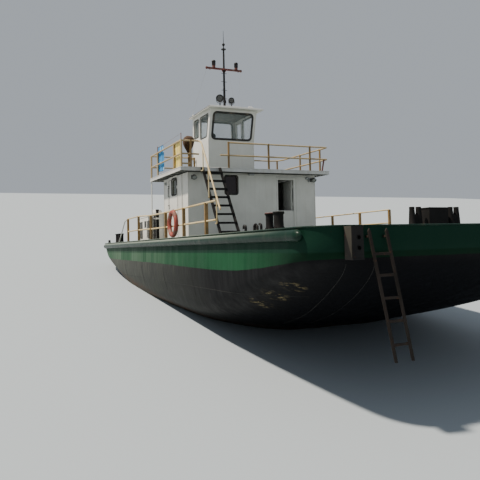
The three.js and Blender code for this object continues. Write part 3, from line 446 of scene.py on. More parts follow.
# Ends a piece: its mesh turned to its trim, its finishes, and what the frame has to know about it.
# Where it has more than one finish, a face's material index says which one it takes.
def finishPiece(name, bm, place, finish, body="boat", replaces=(), bevel=0.0, smooth=40):
    names = [finish] if isinstance(finish, str) else finish
    for face in bm.faces:
        face.material_index = min(face.material_index, len(names) - 1)
    bmesh.ops.recalc_face_normals(bm, faces=bm.faces)
    mesh = bpy.data.meshes.new(name)
    bm.to_mesh(mesh)
    bm.free()
    mesh.transform(place)
    for one in names:
        mesh.materials.append(finishes[one])
    mesh.shade_smooth()
    mesh.set_sharp_from_angle(angle=math.radians(smooth))
    piece = bpy.data.objects.new(name, mesh)
    bpy.context.scene.collection.objects.link(piece)
    if bevel:
        modifier = piece.modifiers.new("edges", "BEVEL")
        modifier.width = bevel
        modifier.segments = 2
        modifier.limit_method = "ANGLE"
        modifier.angle_limit = math.radians(45)
    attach(piece, body)
    if replaces:
        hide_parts(*replaces)
    return piece


def addBox(bm, low, high, materialIndex=0):
    middle = (Vector(low) + Vector(high)) / 2
    size = Vector(high) - Vector(low)
    place = Matrix.Translation(middle) @ Matrix.Diagonal((*size, 1))
    made = bmesh.ops.create_cube(bm, size=1, matrix=place)
    for face in {f for v in made["verts"] for f in v.link_faces}:
        face.material_index = materialIndex


# Faces from each ring of vertices to the next, where a ring may be one point, and over the two ends
def skin(bm, rings, ends=True, materialIndex=0):
    corners = []
    for a, b in zip(rings, rings[1:]):
        count = max(len(a), len(b))
        for k in range(count):
            j = (k + 1) % count
            corners.append(list(dict.fromkeys((a[k % len(a)], a[j % len(a)], b[j % len(b)], b[k % len(b)]))))
    if ends:
        corners += [rings[0], rings[-1]]
    for face in corners:
        if len(face) > 2:
            bm.faces.new(face).material_index = materialIndex


# A path with its corners rounded off
def rounded(points, radius, steps=6, closed=False):
    points = [Vector(p) for p in points]
    count = len(points)
    path = []
    for i, p in enumerate(points):
        if not closed and i in (0, count - 1):
            path.append(p)
            continue
        back = points[i - 1] - p
        on = points[(i + 1) % count] - p
        reach = min(radius, back.length * 0.49, on.length * 0.49)
        a, b = p + back.normalized() * reach, p + on.normalized() * reach
        for k in range(steps + 1):
            t = k / steps
            path.append(a * (1 - t) ** 2 + p * 2 * t * (1 - t) + b * t * t)
    return path


# A pipe along a path. radius is one number, or one for each point; flat is the section's depth over
# its width when the path lies in a plane with that normal.
def addTube(bm, points, radius, sides=12, closed=False, normal=None, flat=1.0):
    points = [Vector(p) for p in points]
    count = len(points)
    radii = list(radius) if hasattr(radius, "__len__") else [radius] * count
    rings = []
    across = None
    lastTangent = None
    for i, p in enumerate(points):
        into = p - points[i - 1] if (i or closed) else points[1] - p
        out = points[(i + 1) % count] - p if (i + 1 < count or closed) else into
        tangent = (into.normalized() + out.normalized()).normalized()
        if normal is not None:
            over = Vector(normal)
            across = tangent.cross(over).normalized()
        else:
            if across is None:
                reference = Vector((0, 0, 1)) if abs(tangent.z) < 0.9 else Vector((0, 1, 0))
                across = tangent.cross(reference).normalized()
            else:
                across = (lastTangent.rotation_difference(tangent) @ across).normalized()
            over = across.cross(tangent).normalized()
        lastTangent = tangent
        ring = []
        for k in range(sides):
            turn = 2 * math.pi * (k + 0.5) / sides
            offset = across * math.cos(turn) + over * math.sin(turn) * flat
            ring.append(bm.verts.new(p + offset * radii[i]))
        rings.append(ring)
    skin(bm, rings + rings[:1] if closed else rings, ends=not closed)


def addBar(bm, start, end, radius, sides=16):
    addTube(bm, [start, end], radius, sides)


# A U-shaped grip from start to end, standing off by out
def addGrip(bm, start, end, out, bend, radius, sides=8):
    start, end, out = Vector(start), Vector(end), Vector(out)
    addTube(bm, rounded([start, start + out, end + out, end], bend), radius, sides)


# Points round an axis along X
def circle(middle, radius, count):
    turns = [2 * math.pi * k / count for k in range(count)]
    return [Vector(middle) + Vector((0, radius * math.cos(turn), radius * math.sin(turn))) for turn in turns]


# A turned shape: profile points are (radius, distance along the axis)
def addTurned(bm, profile, base, axis=(0, 0, 1), sides=28, materialIndex=0):
    turn = Vector((0, 0, 1)).rotation_difference(Vector(axis).normalized())
    rings = []
    for radius, along in profile:
        if radius < 1e-5:
            rings.append([bm.verts.new(Vector(base) + turn @ Vector((0, 0, along)))])
            continue
        rings.append([
            bm.verts.new(Vector(base) + turn @ Vector((
                radius * math.cos(2 * math.pi * k / sides), radius * math.sin(2 * math.pi * k / sides),
                along)))
            for k in range(sides)])
    skin(bm, rings, materialIndex=materialIndex)


# A flat plate from its outline, thickened along a direction
def addPlate(bm, outline, thickness, materialIndex=0):
    thickness = Vector(thickness)
    low = [bm.verts.new(Vector(p)) for p in outline]
    high = [bm.verts.new(Vector(p) + thickness) for p in outline]
    skin(bm, [low, high], materialIndex=materialIndex)


# Geometry Nodes: a row of slats, with its sizes as named inputs

# "First" leads to the first slat's middle, "Step" from one to the next
def slatTree():
    inputs = {"Count": 5, "First": (0.0, 0.0, 0.0), "Step": (0.0, 0.0, 0.1), "Size": (0.1, 0.1, 0.1),
              "Turn": (0.0, 0.0, 0.0)}
    tree = bpy.data.node_groups.new("rowOfSlats", "GeometryNodeTree")
    for label, value in inputs.items():
        kind = "NodeSocketInt" if isinstance(value, int) else "NodeSocketVector"
        tree.interface.new_socket(label, in_out="INPUT", socket_type=kind)
    tree.interface.new_socket("Geometry", in_out="OUTPUT", socket_type="NodeSocketGeometry")
    given = tree.nodes.new("NodeGroupInput").outputs
    line = addNode(tree, "GeometryNodeMeshLine", {
        "Count": given["Count"], "Start Location": given["First"], "Offset": given["Step"]}, mode="OFFSET")
    slat = addNode(tree, "GeometryNodeMeshCube", {"Size": given["Size"]})
    placed = addNode(tree, "GeometryNodeInstanceOnPoints", {
        "Points": line.outputs["Mesh"], "Instance": slat.outputs["Mesh"], "Rotation": given["Turn"]})
    real = addNode(tree, "GeometryNodeRealizeInstances", {"Geometry": placed.outputs[0]})
    tree.links.new(real.outputs[0], tree.nodes.new("NodeGroupOutput").inputs[0])
    return tree


slats = slatTree()


# Adds the row that the tree makes to a shape
def addSlats(bm, inputs, materialIndex=0):
    carrier = bpy.data.objects.new("carrier", bpy.data.meshes.new("carrier"))
    bpy.context.scene.collection.objects.link(carrier)
    modifier = carrier.modifiers.new("grow", "NODES")
    modifier.node_group = slats
    names = {item.name: item.identifier for item in slats.interface.items_tree if item.in_out == "INPUT"}
    for label, value in inputs.items():
        modifier[names[label]] = value
    bpy.context.view_layer.update()
    evaluated = carrier.evaluated_get(bpy.context.evaluated_depsgraph_get())
    start = len(bm.faces)
    bm.from_mesh(bpy.data.meshes.new_from_object(evaluated))
    bm.faces.ensure_lookup_table()
    for face in bm.faces[start:]:
        face.material_index = materialIndex
    bpy.data.objects.remove(carrier)


print("shape tools")


# Hull

hull = {
    "cornerSteps": 14,
    "sideSteps": 46,
    "endSteps": 12,
    # depth, half beam, bow end, its corner's length and width, stern end, its corner's length and width
    "waterlines": [
        (0.000, 4.100, 9.70, 0.70, 0.60, -10.05, 0.65, 0.60),
        (0.560, 4.100, 9.64, 0.90, 0.80, -9.50, 0.90, 0.90),
        (0.800, 4.095, 9.33, 1.50, 1.15, -8.90, 1.10, 1.10),
        (1.100, 4.060, 8.73, 2.30, 1.55, -8.05, 1.40, 1.40),
        (1.450, 3.975, 7.90, 3.00, 1.90, -7.10, 1.70, 1.70),
        (1.850, 3.810, 6.75, 3.50, 2.10, -5.95, 1.90, 1.80),
        (2.180, 3.420, 5.50, 3.80, 2.00, -4.95, 2.00, 1.70),
        (2.600, 2.650, 3.76, 3.90, 1.60, -3.70, 1.90, 1.40),
        (3.000, 1.950, 1.90, 2.60, 1.10, -2.50, 1.50, 1.00),
    ],
    "levels": 46,
    # where the green ends, below the deck, along the boat
    "paintLine": [(-9.8, 0.62), (-7.0, 0.70), (0.0, 0.75), (2.6, 0.79), (4.8, 0.82), (6.4, 0.80),
                  (7.6, 0.72), (8.6, 0.62), (9.2, 0.555), (9.7, 0.53)],
    "plateSeams": [-7.4, -4.9, -2.2, 0.6, 3.3],
    "bowSeams": [(3.45, 2.25), (2.90, 1.70)],
}


def lookUp(table, x):
    if x <= table[0][0]:
        return table[0][1]
    for (x0, y0), (x1, y1) in zip(table, table[1:]):
        if x <= x1:
            return y0 + (y1 - y0) * (x - x0) / (x1 - x0)
    return table[-1][1]


# One waterline's sizes at any depth: a smooth curve through the table
def waterlineAt(depth):
    rows = hull["waterlines"]
    k = max(i for i, row in enumerate(rows[:-1]) if row[0] <= depth + 1e-9)
    t = (depth - rows[k][0]) / (rows[k + 1][0] - rows[k][0])
    before, after = rows[max(k - 1, 0)], rows[min(k + 2, len(rows) - 1)]
    made = []
    for column in range(1, 8):
        a, b = rows[k][column], rows[k + 1][column]
        span = rows[k + 1][0] - rows[k][0]
        slopeIn = (b - before[column]) / (rows[k + 1][0] - before[0]) * span
        slopeOut = (after[column] - a) / (after[0] - rows[k][0]) * span
        if k == 0:
            slopeIn = b - a
        h = (2 * t**3 - 3 * t**2 + 1) * a + (t**3 - 2 * t**2 + t) * slopeIn
        made.append(h + (-2 * t**3 + 3 * t**2) * b + (t**3 - t**2) * slopeOut)
    return made


def hullRing(depth):
    halfBeam, bow, bowLong, bowWide, stern, sternLong, sternWide = waterlineAt(depth)
    corners = [
        (bow - bowLong, halfBeam - bowWide, bowLong, bowWide, 0),
        (stern + sternLong, halfBeam - sternWide, sternLong, sternWide, 1),
        (stern + sternLong, sternWide - halfBeam, sternLong, sternWide, 2),
        (bow - bowLong, bowWide - halfBeam, bowLong, bowWide, 3),
    ]
    points = []
    for k, (x, y, long, wide, quarter) in enumerate(corners):
        for i in range(hull["cornerSteps"] + 1):
            turn = (quarter + i / hull["cornerSteps"]) * math.pi / 2
            points.append(Vector((x + long * math.cos(turn), y + wide * math.sin(turn), deck - depth)))
        following = corners[(k + 1) % 4]
        turn = following[4] * math.pi / 2
        goal = Vector((following[0] + following[2] * math.cos(turn),
                       following[1] + following[3] * math.sin(turn), deck - depth))
        last = points[-1]
        steps = hull["sideSteps"] if k % 2 == 0 else hull["endSteps"]
        points += [last.lerp(goal, i / steps) for i in range(1, steps)]
    return points


def makeHull():
    bm = bmesh.new()
    paintLine = bm.verts.layers.float.new("paintLine")
    belowDeck = bm.verts.layers.float.new("belowDeck")
    maxDepth = hull["waterlines"][-1][0]
    depths = [maxDepth * (k / (hull["levels"] - 1)) for k in range(hull["levels"])]
    rings = []
    for depth in depths:
        ring = []
        for p in hullRing(depth):
            v = bm.verts.new(p)
            v[paintLine] = depth - lookUp(hull["paintLine"], p.x)
            v[belowDeck] = depth
            ring.append(v)
        rings.append(ring)
    skin(bm, rings)
    finishPiece("hullShell", bm, hullFrame, "hullPaint", replaces=["hull"])


# A point on the hull's side at a place along it, found on the waterline at that depth
def sidePoint(x, depth, side):
    ring = [p for p in hullRing(depth) if p.y * side > 0]
    ring.sort(key=lambda p: p.x)
    for a, b in zip(ring, ring[1:]):
        if a.x <= x <= b.x and b.x - a.x > 1e-6:
            return a.lerp(b, (x - a.x) / (b.x - a.x))
    return None


def makeHullSeams():
    bm = bmesh.new()
    for side in (-1, 1):
        for x in hull["plateSeams"]:
            path = [sidePoint(x, 0.86 + k * 0.09, side) for k in range(9)]
            path = [p for p in path if p is not None]
            addTube(bm, path, 0.004, 6)
    # seams that run aft and inwards under the bow, from the paint's edge
    for side in (-1, 1):
        for start, end in hull["bowSeams"]:
            path = []
            for k in range(17):
                depth, y = 0.62 + 0.1 * k, start + (end - start) * k / 16
                halfBeam, bow, long, wide = waterlineAt(depth)[:4]
                past = min(1.0, max(0.0, (y - halfBeam + wide) / wide))
                path.append((bow - long + long * math.sqrt(1 - past * past), side * y, deck - depth))
            addTube(bm, path, 0.005, 6)
    ring = hullRing(1.30)
    count = len(ring)
    for part in (ring[4:count // 2 - 14], ring[count // 2 + 14:count - 16]):
        addTube(bm, part, 0.004, 6)
    finishPiece("hullWelds", bm, hullFrame, "hullWeld")


def makeDeck():
    bm = bmesh.new()
    outline = [Vector((p.x * 0.9985, p.y * 0.9975, deck + 0.0005)) for p in hullRing(0.0)]
    addPlate(bm, outline, (0, 0, 0.003))
    finishPiece("mainDeckPlate", bm, hullFrame, "deckPaint")
    bm = bmesh.new()
    edge = [Vector((p.x, p.y, deck + 0.004)) for p in hullRing(0.0)]
    addTube(bm, edge, 0.016, 10, closed=True, normal=(0, 0, 1))
    finishPiece("deckEdgeBar", bm, hullFrame, "fenderPaint")


gear = {"shaftY": 1.75, "propellerX": -6.7, "propellerZ": -0.21, "rudderX": -7.75, "trunkZ": 0.90}


def makeUnderwaterGear():
    bm = bmesh.new()
    skeg = [(-5.9, -0.045, -0.7), (-5.9, -0.045, 0.42), (-2.4, -0.045, -0.79), (-2.4, -0.045, -0.83)]
    addPlate(bm, skeg, (0, 0.09, 0))
    for side in (-1, 1):
        y = side * gear["shaftY"]
        z = gear["propellerZ"]
        addTube(bm, [(gear["propellerX"] + 0.19, y, z), (-6.2, y, z + 0.011), (-3.3, y, z + 0.08)],
                [0.088, 0.095, 0.095], 24)
        addPlate(bm, [(-6.47, y - 0.014, z), (-6.27, y - 0.014, z), (-6.27, y - 0.014, 0.69),
                      (-6.47, y - 0.014, 0.69)], (0, 0.028, 0))
        addBar(bm, (gear["rudderX"], y, gear["trunkZ"]), (gear["rudderX"], y, 1.19), 0.095, 24)
    finishPiece("shaftTubesAndSkeg", bm, hullFrame, "hullWeld", bevel=0.006)


makeHull()
makeHullSeams()
makeDeck()
makeUnderwaterGear()

fender = {"radius": 0.105, "below": 0.130, "nose": 0.1785, "aft": -9.35, "fore": 9.27, "y": 4.1003}


def makeFender(name, side):
    bm = bmesh.new()
    radius, nose = fender["radius"], fender["nose"]
    y, z = side * fender["y"], deck - fender["below"]
    turns = [math.pi / 2 * k / 12 for k in range(13)]
    end = [(nose * (1 - math.cos(turn)), max(0.004, radius * math.sin(turn))) for turn in turns]
    stations = [(fender["aft"] + along, r) for along, r in end]
    stations += [(fender["fore"] - along, r) for along, r in end[::-1]]
    rings = []
    for x, r in stations:
        ring = []
        for k in range(21):
            turn = -math.pi / 2 + math.pi * k / 20
            ring.append(bm.verts.new((x, y + side * (r * math.cos(turn)), z + r * math.sin(turn))))
        rings.append(ring)
    skin(bm, rings)
    finishPiece("fenderPipe_" + name, bm, hullFrame, "fenderPaint",
                replaces=["fender_" + name])


makeFender("starboard", -1)
makeFender("port", 1)
print("hull")


# Bow: push knees and ladder

knee = {"x": 9.7003, "face": 9.92, "y": 3.45, "half": 0.11, "height": 0.55, "holes": [-0.19, -0.36],
        "hole": 0.034}


# The block itself is the part's own, with its two holes; plates and rims are welded on it
def makeKnee(name, side):
    bm = bmesh.new()
    x0, x1, y = knee["x"], knee["face"], side * knee["y"]
    low, high = deck - knee["height"], deck - 0.004
    out = y + side * knee["half"]
    addPlate(bm, [(x0 + 0.004, out, high), (x1 - 0.004, out, high), (x1 - 0.010, out, low + 0.02)],
             (0, side * 0.008, 0), materialIndex=1)
    addBox(bm, (x0, y - 0.116, high - 0.016), (x1 + 0.004, y + 0.116, high + 0.002))
    addBox(bm, (x1 - 0.03, y - 0.114, low - 0.002), (x1 + 0.004, y + 0.114, low + 0.02))
    for z in knee["holes"]:
        middle = Vector((x1 + 0.002, y - side * 0.022, deck + z))
        addTube(bm, circle(middle, knee["hole"] + 0.004, 24), 0.005, 8, closed=True, normal=(1, 0, 0))
    finishPiece("pushKneePlates_" + name, bm, hullFrame, ["blackSteel", "kneeWorn"])
    repaint("push_knee_" + name, "blackSteel")


makeKnee("starboard", -1)
makeKnee("port", 1)

ladder = {"x": 9.79, "top": (-2.96, -0.095), "foot": (-2.52, -2.27), "halfWidth": 0.175, "barWide": 0.0275,
          "barThick": 0.014, "rungAt": [0.172, 0.335, 0.509, 0.686, 0.866], "rungHigh": 0.024}


def makeLadder():
    bm = bmesh.new()
    x, thick = ladder["x"], ladder["barThick"]

    def at(t, across=0.0):
        y = ladder["top"][0] + (ladder["foot"][0] - ladder["top"][0]) * t + across
        return Vector((x - thick, y, deck + ladder["top"][1] + (ladder["foot"][1] - ladder["top"][1]) * t))

    for side in (-1, 1):
        middle, half = side * ladder["halfWidth"], ladder["barWide"]
        tip = at(0, middle) + Vector((0, 0, 0.05))
        outline = [at(0, middle - half), at(1, middle - half), at(1, middle + half), at(0, middle + half),
                   tip]
        addPlate(bm, outline, (2 * thick, 0, 0))
        hook = at(0.02, middle)
        addBox(bm, (9.685, hook.y - 0.018, hook.z - 0.06), (x, hook.y + 0.018, hook.z - 0.022))
    for t in ladder["rungAt"]:
        a, b = at(t, -ladder["halfWidth"]), at(t, ladder["halfWidth"])
        addBox(bm, (x - 0.010, a.y, a.z - ladder["rungHigh"]), (x + 0.010, b.y, b.z + ladder["rungHigh"]))
    finishPiece("bowLadder", bm, hullFrame, "ladderSteel", replaces=["bow_ladder"],
                bevel=0.004)


makeLadder()
print("bow fittings")

# Mooring gear

# name, x, y, radius of the aft post and of the fore post, half their distance, height, finish of the aft cap
bollards = [("bollard_bow_starboard", 7.21, -3.56, 0.080, 0.100, 0.205, 0.39, "capRed"),
            ("bollard_bow_port", 7.21, 3.56, 0.080, 0.100, 0.205, 0.39, "blackSteel"),
            ("bollard_stern_starboard", -9.25, -3.45, 0.130, 0.130, 0.280, 0.46, "blackSteel"),
            ("bollard_stern_port", -9.25, 3.45, 0.130, 0.130, 0.280, 0.46, "blackSteel")]


def makeBollard(name, x, y, aftRadius, foreRadius, apart, height, capFinish):
    bm = bmesh.new()
    halfLong, halfWide = apart + 0.215, foreRadius + 0.045
    addBox(bm, (x - halfLong, y - halfWide, deckSeat), (x + halfLong, y + halfWide, deck + 0.022))
    for postX, radius, capIndex in ((x - apart, aftRadius, 1), (x + apart, foreRadius, 0)):
        base = (postX, y, deck + 0.015)
        top = height - 0.015
        addTurned(bm, [(radius + 0.02, 0), (radius + 0.012, 0.012), (radius + 0.002, 0.03),
                       (radius - 0.002, top * 0.5),
                       (radius, top - 0.06), (radius + 0.018, top - 0.04), (radius + 0.02, top - 0.012)],
                  base, sides=32)
        addTurned(bm, [(radius + 0.02, top - 0.0125), (radius + 0.01, top - 0.002), (0.02, top), (0, top)],
                  base, sides=32, materialIndex=capIndex)
        for turn in range(6):
            out = Vector((math.cos(turn * math.pi / 3), math.sin(turn * math.pi / 3), 0))
            foot = Vector((postX, y - 0.004, deck + 0.02)) + out * radius
            addPlate(bm, [foot, foot + out * 0.035, foot + Vector((0, 0, 0.07))], (0, 0.008, 0))
    for dx in (0.03 - halfLong, -0.02, 0.02, halfLong - 0.03):
        for dy in (0.03 - halfWide, halfWide - 0.03):
            addBar(bm, (x + dx, y + dy, deck + 0.02), (x + dx, y + dy, deck + 0.034), 0.014, 6)
    finishPiece(name + "_posts", bm, hullFrame, ["blackSteel", capFinish], replaces=[name],
                bevel=0.003)


for row in bollards:
    makeBollard(*row)

bitts = {"x": 7.9, "half": 0.81, "outer": 0.617, "inner": 0.441, "height": 0.46, "saddle": 0.32,
         "block": 0.265}


def makeBitts():
    bm = bmesh.new()
    x, half, blockHalf = bitts["x"], bitts["half"], bitts["block"]
    addBox(bm, (x - 0.30, -half, deckSeat), (x + 0.30, half, deck + 0.03))
    addBox(bm, (x - 0.13, -blockHalf, deck + 0.02), (x + 0.13, blockHalf, deck + 0.42))
    addBox(bm, (x - 0.14, -blockHalf - 0.01, deck + 0.41), (x + 0.14, blockHalf + 0.01, deck + 0.44))
    for side in (-1, 1):
        for y in (side * bitts["outer"], side * bitts["inner"]):
            addTurned(bm, [(0.092, 0), (0.080, 0.03), (0.070, 0.2), (0.056, 0.39), (0.060, 0.41),
                           (0.056, 0.435),
                           (0, 0.44)], (x, y, deck + 0.02), sides=28)
        saddle = [(x - 0.055, side * (bitts["inner"] + 0.176 * k / 8),
                   deck + bitts["saddle"] - 0.035 * math.sin(math.pi * k / 8)) for k in range(9)]
        feet = [(x - 0.055, side * bitts["outer"], deck + 0.02),
                (x - 0.055, side * bitts["inner"], deck + 0.02)]
        addPlate(bm, saddle + feet, (0.11, 0, 0))
    finishPiece("towingBitts", bm, hullFrame, "blackSteel", replaces=["towing_bitts"],
                bevel=0.006)


makeBitts()

vents = {"goosenecks": [(5.87, 0.17), (6.49, 0.15)], "y": -3.6, "radius": 0.03,
         "hatches": [(4.1, 1.9), (6.3, -1.7)], "hatchSize": 0.36}


def makeDeckFittings():
    bm = bmesh.new()
    for side in (-1, 1):
        for x, height in vents["goosenecks"]:
            y = side * abs(vents["y"])
            path = rounded([(x, y, deck), (x, y, deck + height), (x - 0.1, y, deck + height),
                            (x - 0.1, y, deck + height - 0.07)], 0.045, 8)
            addTube(bm, path, vents["radius"], 14)
            addTurned(bm, [(0.06, 0), (0.06, 0.012), (0.03, 0.012)], (x, y, deck + 0.002), sides=20)
    finishPiece("tankVents", bm, hullFrame, "mastBlack")
    bm = bmesh.new()
    for x, y in vents["hatches"]:
        half = vents["hatchSize"] / 2
        outline = rounded([(x - half, y - half, deck + 0.001), (x + half, y - half, deck + 0.001),
                           (x + half, y + half, deck + 0.001), (x - half, y + half, deck + 0.001)], 0.1, 5,
                          True)
        addPlate(bm, outline, (0, 0, 0.02))
        for k in range(10):
            angle = k * math.pi / 5
            dx, dy = half * 0.86 * math.cos(angle), half * 0.86 * math.sin(angle)
            addBar(bm, (x + dx, y + dy, deck + 0.018), (x + dx, y + dy, deck + 0.032), 0.011, 6)
        addGrip(bm, (x - 0.06, y, deck + 0.015), (x + 0.06, y, deck + 0.015), (0, 0, 0.045), 0.02, 0.007)
    finishPiece("tankManholes", bm, hullFrame, "deckPaint", bevel=0.004)
    bm = bmesh.new()
    # side fairleads through the deck edge abeam of each bollard
    for x, side in ((7.21, -1), (7.21, 1), (-9.25, -1), (-9.25, 1)):
        y = side * 3.93
        for dx in (-0.16, 0.16):
            addTube(bm, rounded([(x + dx, y, deck), (x + dx, y, deck + 0.13),
                                 (x + dx * 0.45, y, deck + 0.15)], 0.05),
                    [0.028] * 8 + [0.02], 12)
        addBox(bm, (x - 0.24, y - 0.06, deckSeat), (x + 0.24, y + 0.06, deck + 0.018))
    finishPiece("fairleads", bm, hullFrame, "blackSteel", bevel=0.003)


makeDeckFittings()
print("mooring gear")

# Main deck rails and the life ring

# Each post's place along the boat, the height of the top pipe and of the middle pipe there
deckRail = {
    "y": 3.9, "pipe": 0.024, "post": 0.032,
    "starboard": [(-5.19, 0.93, 0.42), (-3.33, 0.93, 0.42), (-1.47, 0.85, 0.385), (0.39, 0.83, 0.368),
                  (2.25, 0.83, 0.366), (4.11, 0.83, 0.366)],
    "port": [(-5.9, 0.85, 0.39), (-4.06, 0.85, 0.39), (-2.2, 0.85, 0.39), (-0.3, 0.85, 0.39),
             (1.45, 0.85, 0.39)],
    "past": {"starboard": 0.70, "port": 0.0},
    # from the aft post: how far aft, share of that post's height
    "stay": [(0.0, 1.0), (-0.60, 0.94), (-1.33, 0.42), (-1.91, 0.027)],
}


def makeDeckRail(name, side):
    y, rows, pipe = side * deckRail["y"], deckRail[name], deckRail["pipe"]
    aft, aftTop = rows[0][0], rows[0][1]
    bm = bmesh.new()
    for column in (1, 2):
        run = [(row[0], y, deck + row[column]) for row in rows]
        if deckRail["past"][name]:
            run.append((rows[-1][0] + deckRail["past"][name], y, run[-1][2]))
        addTube(bm, rounded(run, 0.25), pipe, 16)
    finishPiece("deckRailPipes_" + name, bm, hullFrame, "railPipe",
                replaces=["deck_rail_" + name])
    bm = bmesh.new()
    stay = [(aft + x, y, deck + share * aftTop) for x, share in deckRail["stay"]]
    addTube(bm, rounded(stay, 0.10), pipe, 16)
    addBox(bm, (stay[-1][0] - 0.05, y - 0.04, deckSeat), (stay[-1][0] + 0.05, y + 0.04, deck + 0.014))
    finishPiece("deckRailStay_" + name, bm, hullFrame, "fasciaPaint")
    bm = bmesh.new()
    half = deckRail["post"] + 0.008
    for x, high in (row[:2] for row in rows):
        addBox(bm, (x - half, y - half, deckSeat), (x + half, y - half + 0.012, deck + high + 0.004))
        addBox(bm, (x - half, y - half, deckSeat), (x - half + 0.012, y + half, deck + high + 0.004))
        addBox(bm, (x + half - 0.012, y - half, deckSeat), (x + half, y + half, deck + high + 0.004))
        addBox(bm, (x - 0.05, y - 0.045, deckSeat), (x + 0.05, y + 0.045, deck + 0.012))
    finishPiece("deckRailPosts_" + name, bm, hullFrame, "railPost", bevel=0.003)


makeDeckRail("starboard", -1)
makeDeckRail("port", 1)

ring = {"x": 1.434, "z": 0.43, "radius": 0.346, "tube": 0.066, "bands": [45, 135, 225, 315], "bandWidth": 11}


def makeLifeRing():
    y = -(deckRail["y"] + deckRail["pipe"] * 0.866 + ring["tube"] + 0.0003)
    middle = Vector((ring["x"], y, deck + ring["z"]))

    def arc(start, stop, count):
        return [middle + Vector((math.cos(math.radians(start + (stop - start) * k / count)), 0,
                                 math.sin(math.radians(start + (stop - start) * k / count)))) * ring["radius"]
                for k in range(count + 1)]

    bm = bmesh.new()
    addTube(bm, arc(0, 360, 72)[:-1], ring["tube"] * 0.97, 24, closed=True, normal=(0, 1, 0))
    finishPiece("lifeRing", bm, hullFrame, "ringShell", replaces=["life_ring"])
    bm = bmesh.new()
    for angle in ring["bands"]:
        addTube(bm, arc(angle - ring["bandWidth"], angle + ring["bandWidth"], 8), ring["tube"], 24,
                normal=(0, 1, 0))
    finishPiece("lifeRingBands", bm, hullFrame, "ringBand")
    bm = bmesh.new()
    for k in range(4):
        a = ring["bands"][k]
        path = []
        for i in range(15):
            angle = math.radians(a + 90 * i / 14)
            slack = 0.012 * math.sin(math.pi * i / 14)
            reach = ring["radius"] + ring["tube"] - 0.004 - slack
            path.append(middle + Vector((math.cos(angle) * reach, -0.016, math.sin(angle) * reach)))
        addTube(bm, path, 0.007, 8)
    hook = middle + Vector((0, 0, ring["radius"]))
    addTube(bm, rounded([hook + Vector((-0.05, 0.075, 0.1)), hook + Vector((-0.05, -0.064, 0.02)),
                         hook + Vector((-0.05, -0.05, -0.07)), hook + Vector((-0.05, 0.06, -0.07))], 0.03),
            0.006, 8)
    finishPiece("lifeRingLashing", bm, hullFrame, "ringBand")


makeLifeRing()
print("deck rails")

# Aft deck: engine casing, hatch, vent

casing = {"aft": -7.45, "fore": -5.88, "half": 2.9, "height": 1.09}


def makeCasingTrim():
    z = deck
    x0, x1, w, h = casing["aft"], casing["fore"], casing["half"], casing["height"]
    bm = bmesh.new()
    for x, width in ((-7.38, 0.22), (-6.0, 0.14)):
        addTube(bm, [(x, -w - 0.002, z + 0.15), (x + width, -w - 0.002, z + 0.15),
                     (x + width, -w - 0.002, z + 0.9), (x, -w - 0.002, z + 0.9)], 0.012, 8, closed=True,
                normal=(0, 1, 0))
    louvreY = (-2.1, -1.2, 1.2, 2.1)
    for y in louvreY:
        addBox(bm, (x0 - 0.012, y - 0.3, z + 0.3), (x0 + 0.002, y + 0.3, z + 0.8))
        addBox(bm, (x1 - 0.002, y - 0.3, z + 0.3), (x1 + 0.012, y + 0.3, z + 0.8))
    finishPiece("casingLouvreFrames", bm, hullFrame, "housePaint", bevel=0.004)
    bm = bmesh.new()
    for side, x in ((-1, x0 - 0.014), (1, x1 + 0.014)):
        for y in louvreY:
            addSlats(bm, {"Count": 8, "First": (x, y, z + 0.34), "Step": (0.0, 0.0, 0.06),
                          "Size": (0.02, 0.54, 0.035), "Turn": (0.0, side * -0.5, 0.0)})
    finishPiece("casingLouvres", bm, hullFrame, "interior")
    # black panels in the openings stand for their dark insides: painted shade
    bm = bmesh.new()
    for x, wide, low, high in ((-7.34, 0.46, 0.15, 0.90), (-6.12, 0.36, 0.15, 0.90),
                               (-6.54, 0.30, 0.62, 0.90)):
        addBox(bm, (x, -w - 0.006, z + low), (x + wide, -w - 0.001, z + high))
    finishPiece("casingOpeningShadePanels", bm, hullFrame, "mastBlack")
    bm = bmesh.new()
    top = z + h
    rim = [(x0, -w, top - 0.02), (x1, -w, top - 0.02), (x1, w, top - 0.02), (x0, w, top - 0.02)]
    addTube(bm, rim, 0.02, 10, closed=True, normal=(0, 0, 1))
    for y in (-2.3, 2.3):
        addTurned(bm, [(0.13, 0), (0.13, 0.16), (0.2, 0.16), (0.23, 0.2), (0.2, 0.3), (0.08, 0.34),
                       (0, 0.345)],
                  (x0 + 0.75, y, top), sides=28)
    finishPiece("casingTopTrim", bm, hullFrame, "housePaint")


def makeHatchTrim():
    z = deck + casing["height"] + 0.0453
    bm = bmesh.new()
    for y in (-0.22, 0.22):
        addGrip(bm, (-6.42, y - 0.07, z), (-6.42, y + 0.07, z), (0, 0, 0.055), 0.025, 0.009, 10)
    for x, y in ((-6.25, -0.4), (-6.25, 0.4), (-7.0, -0.4), (-7.0, 0.4)):
        addTurned(bm, [(0.03, 0), (0.03, 0.02), (0.014, 0.024), (0.014, 0.045), (0, 0.045)], (x, y, z),
                  sides=14)
        addBox(bm, (x - 0.05, y - 0.008, z + 0.028), (x + 0.05, y + 0.008, z + 0.04))
    finishPiece("hatchHandles", bm, hullFrame, "galvanised", body="casing_hatch")


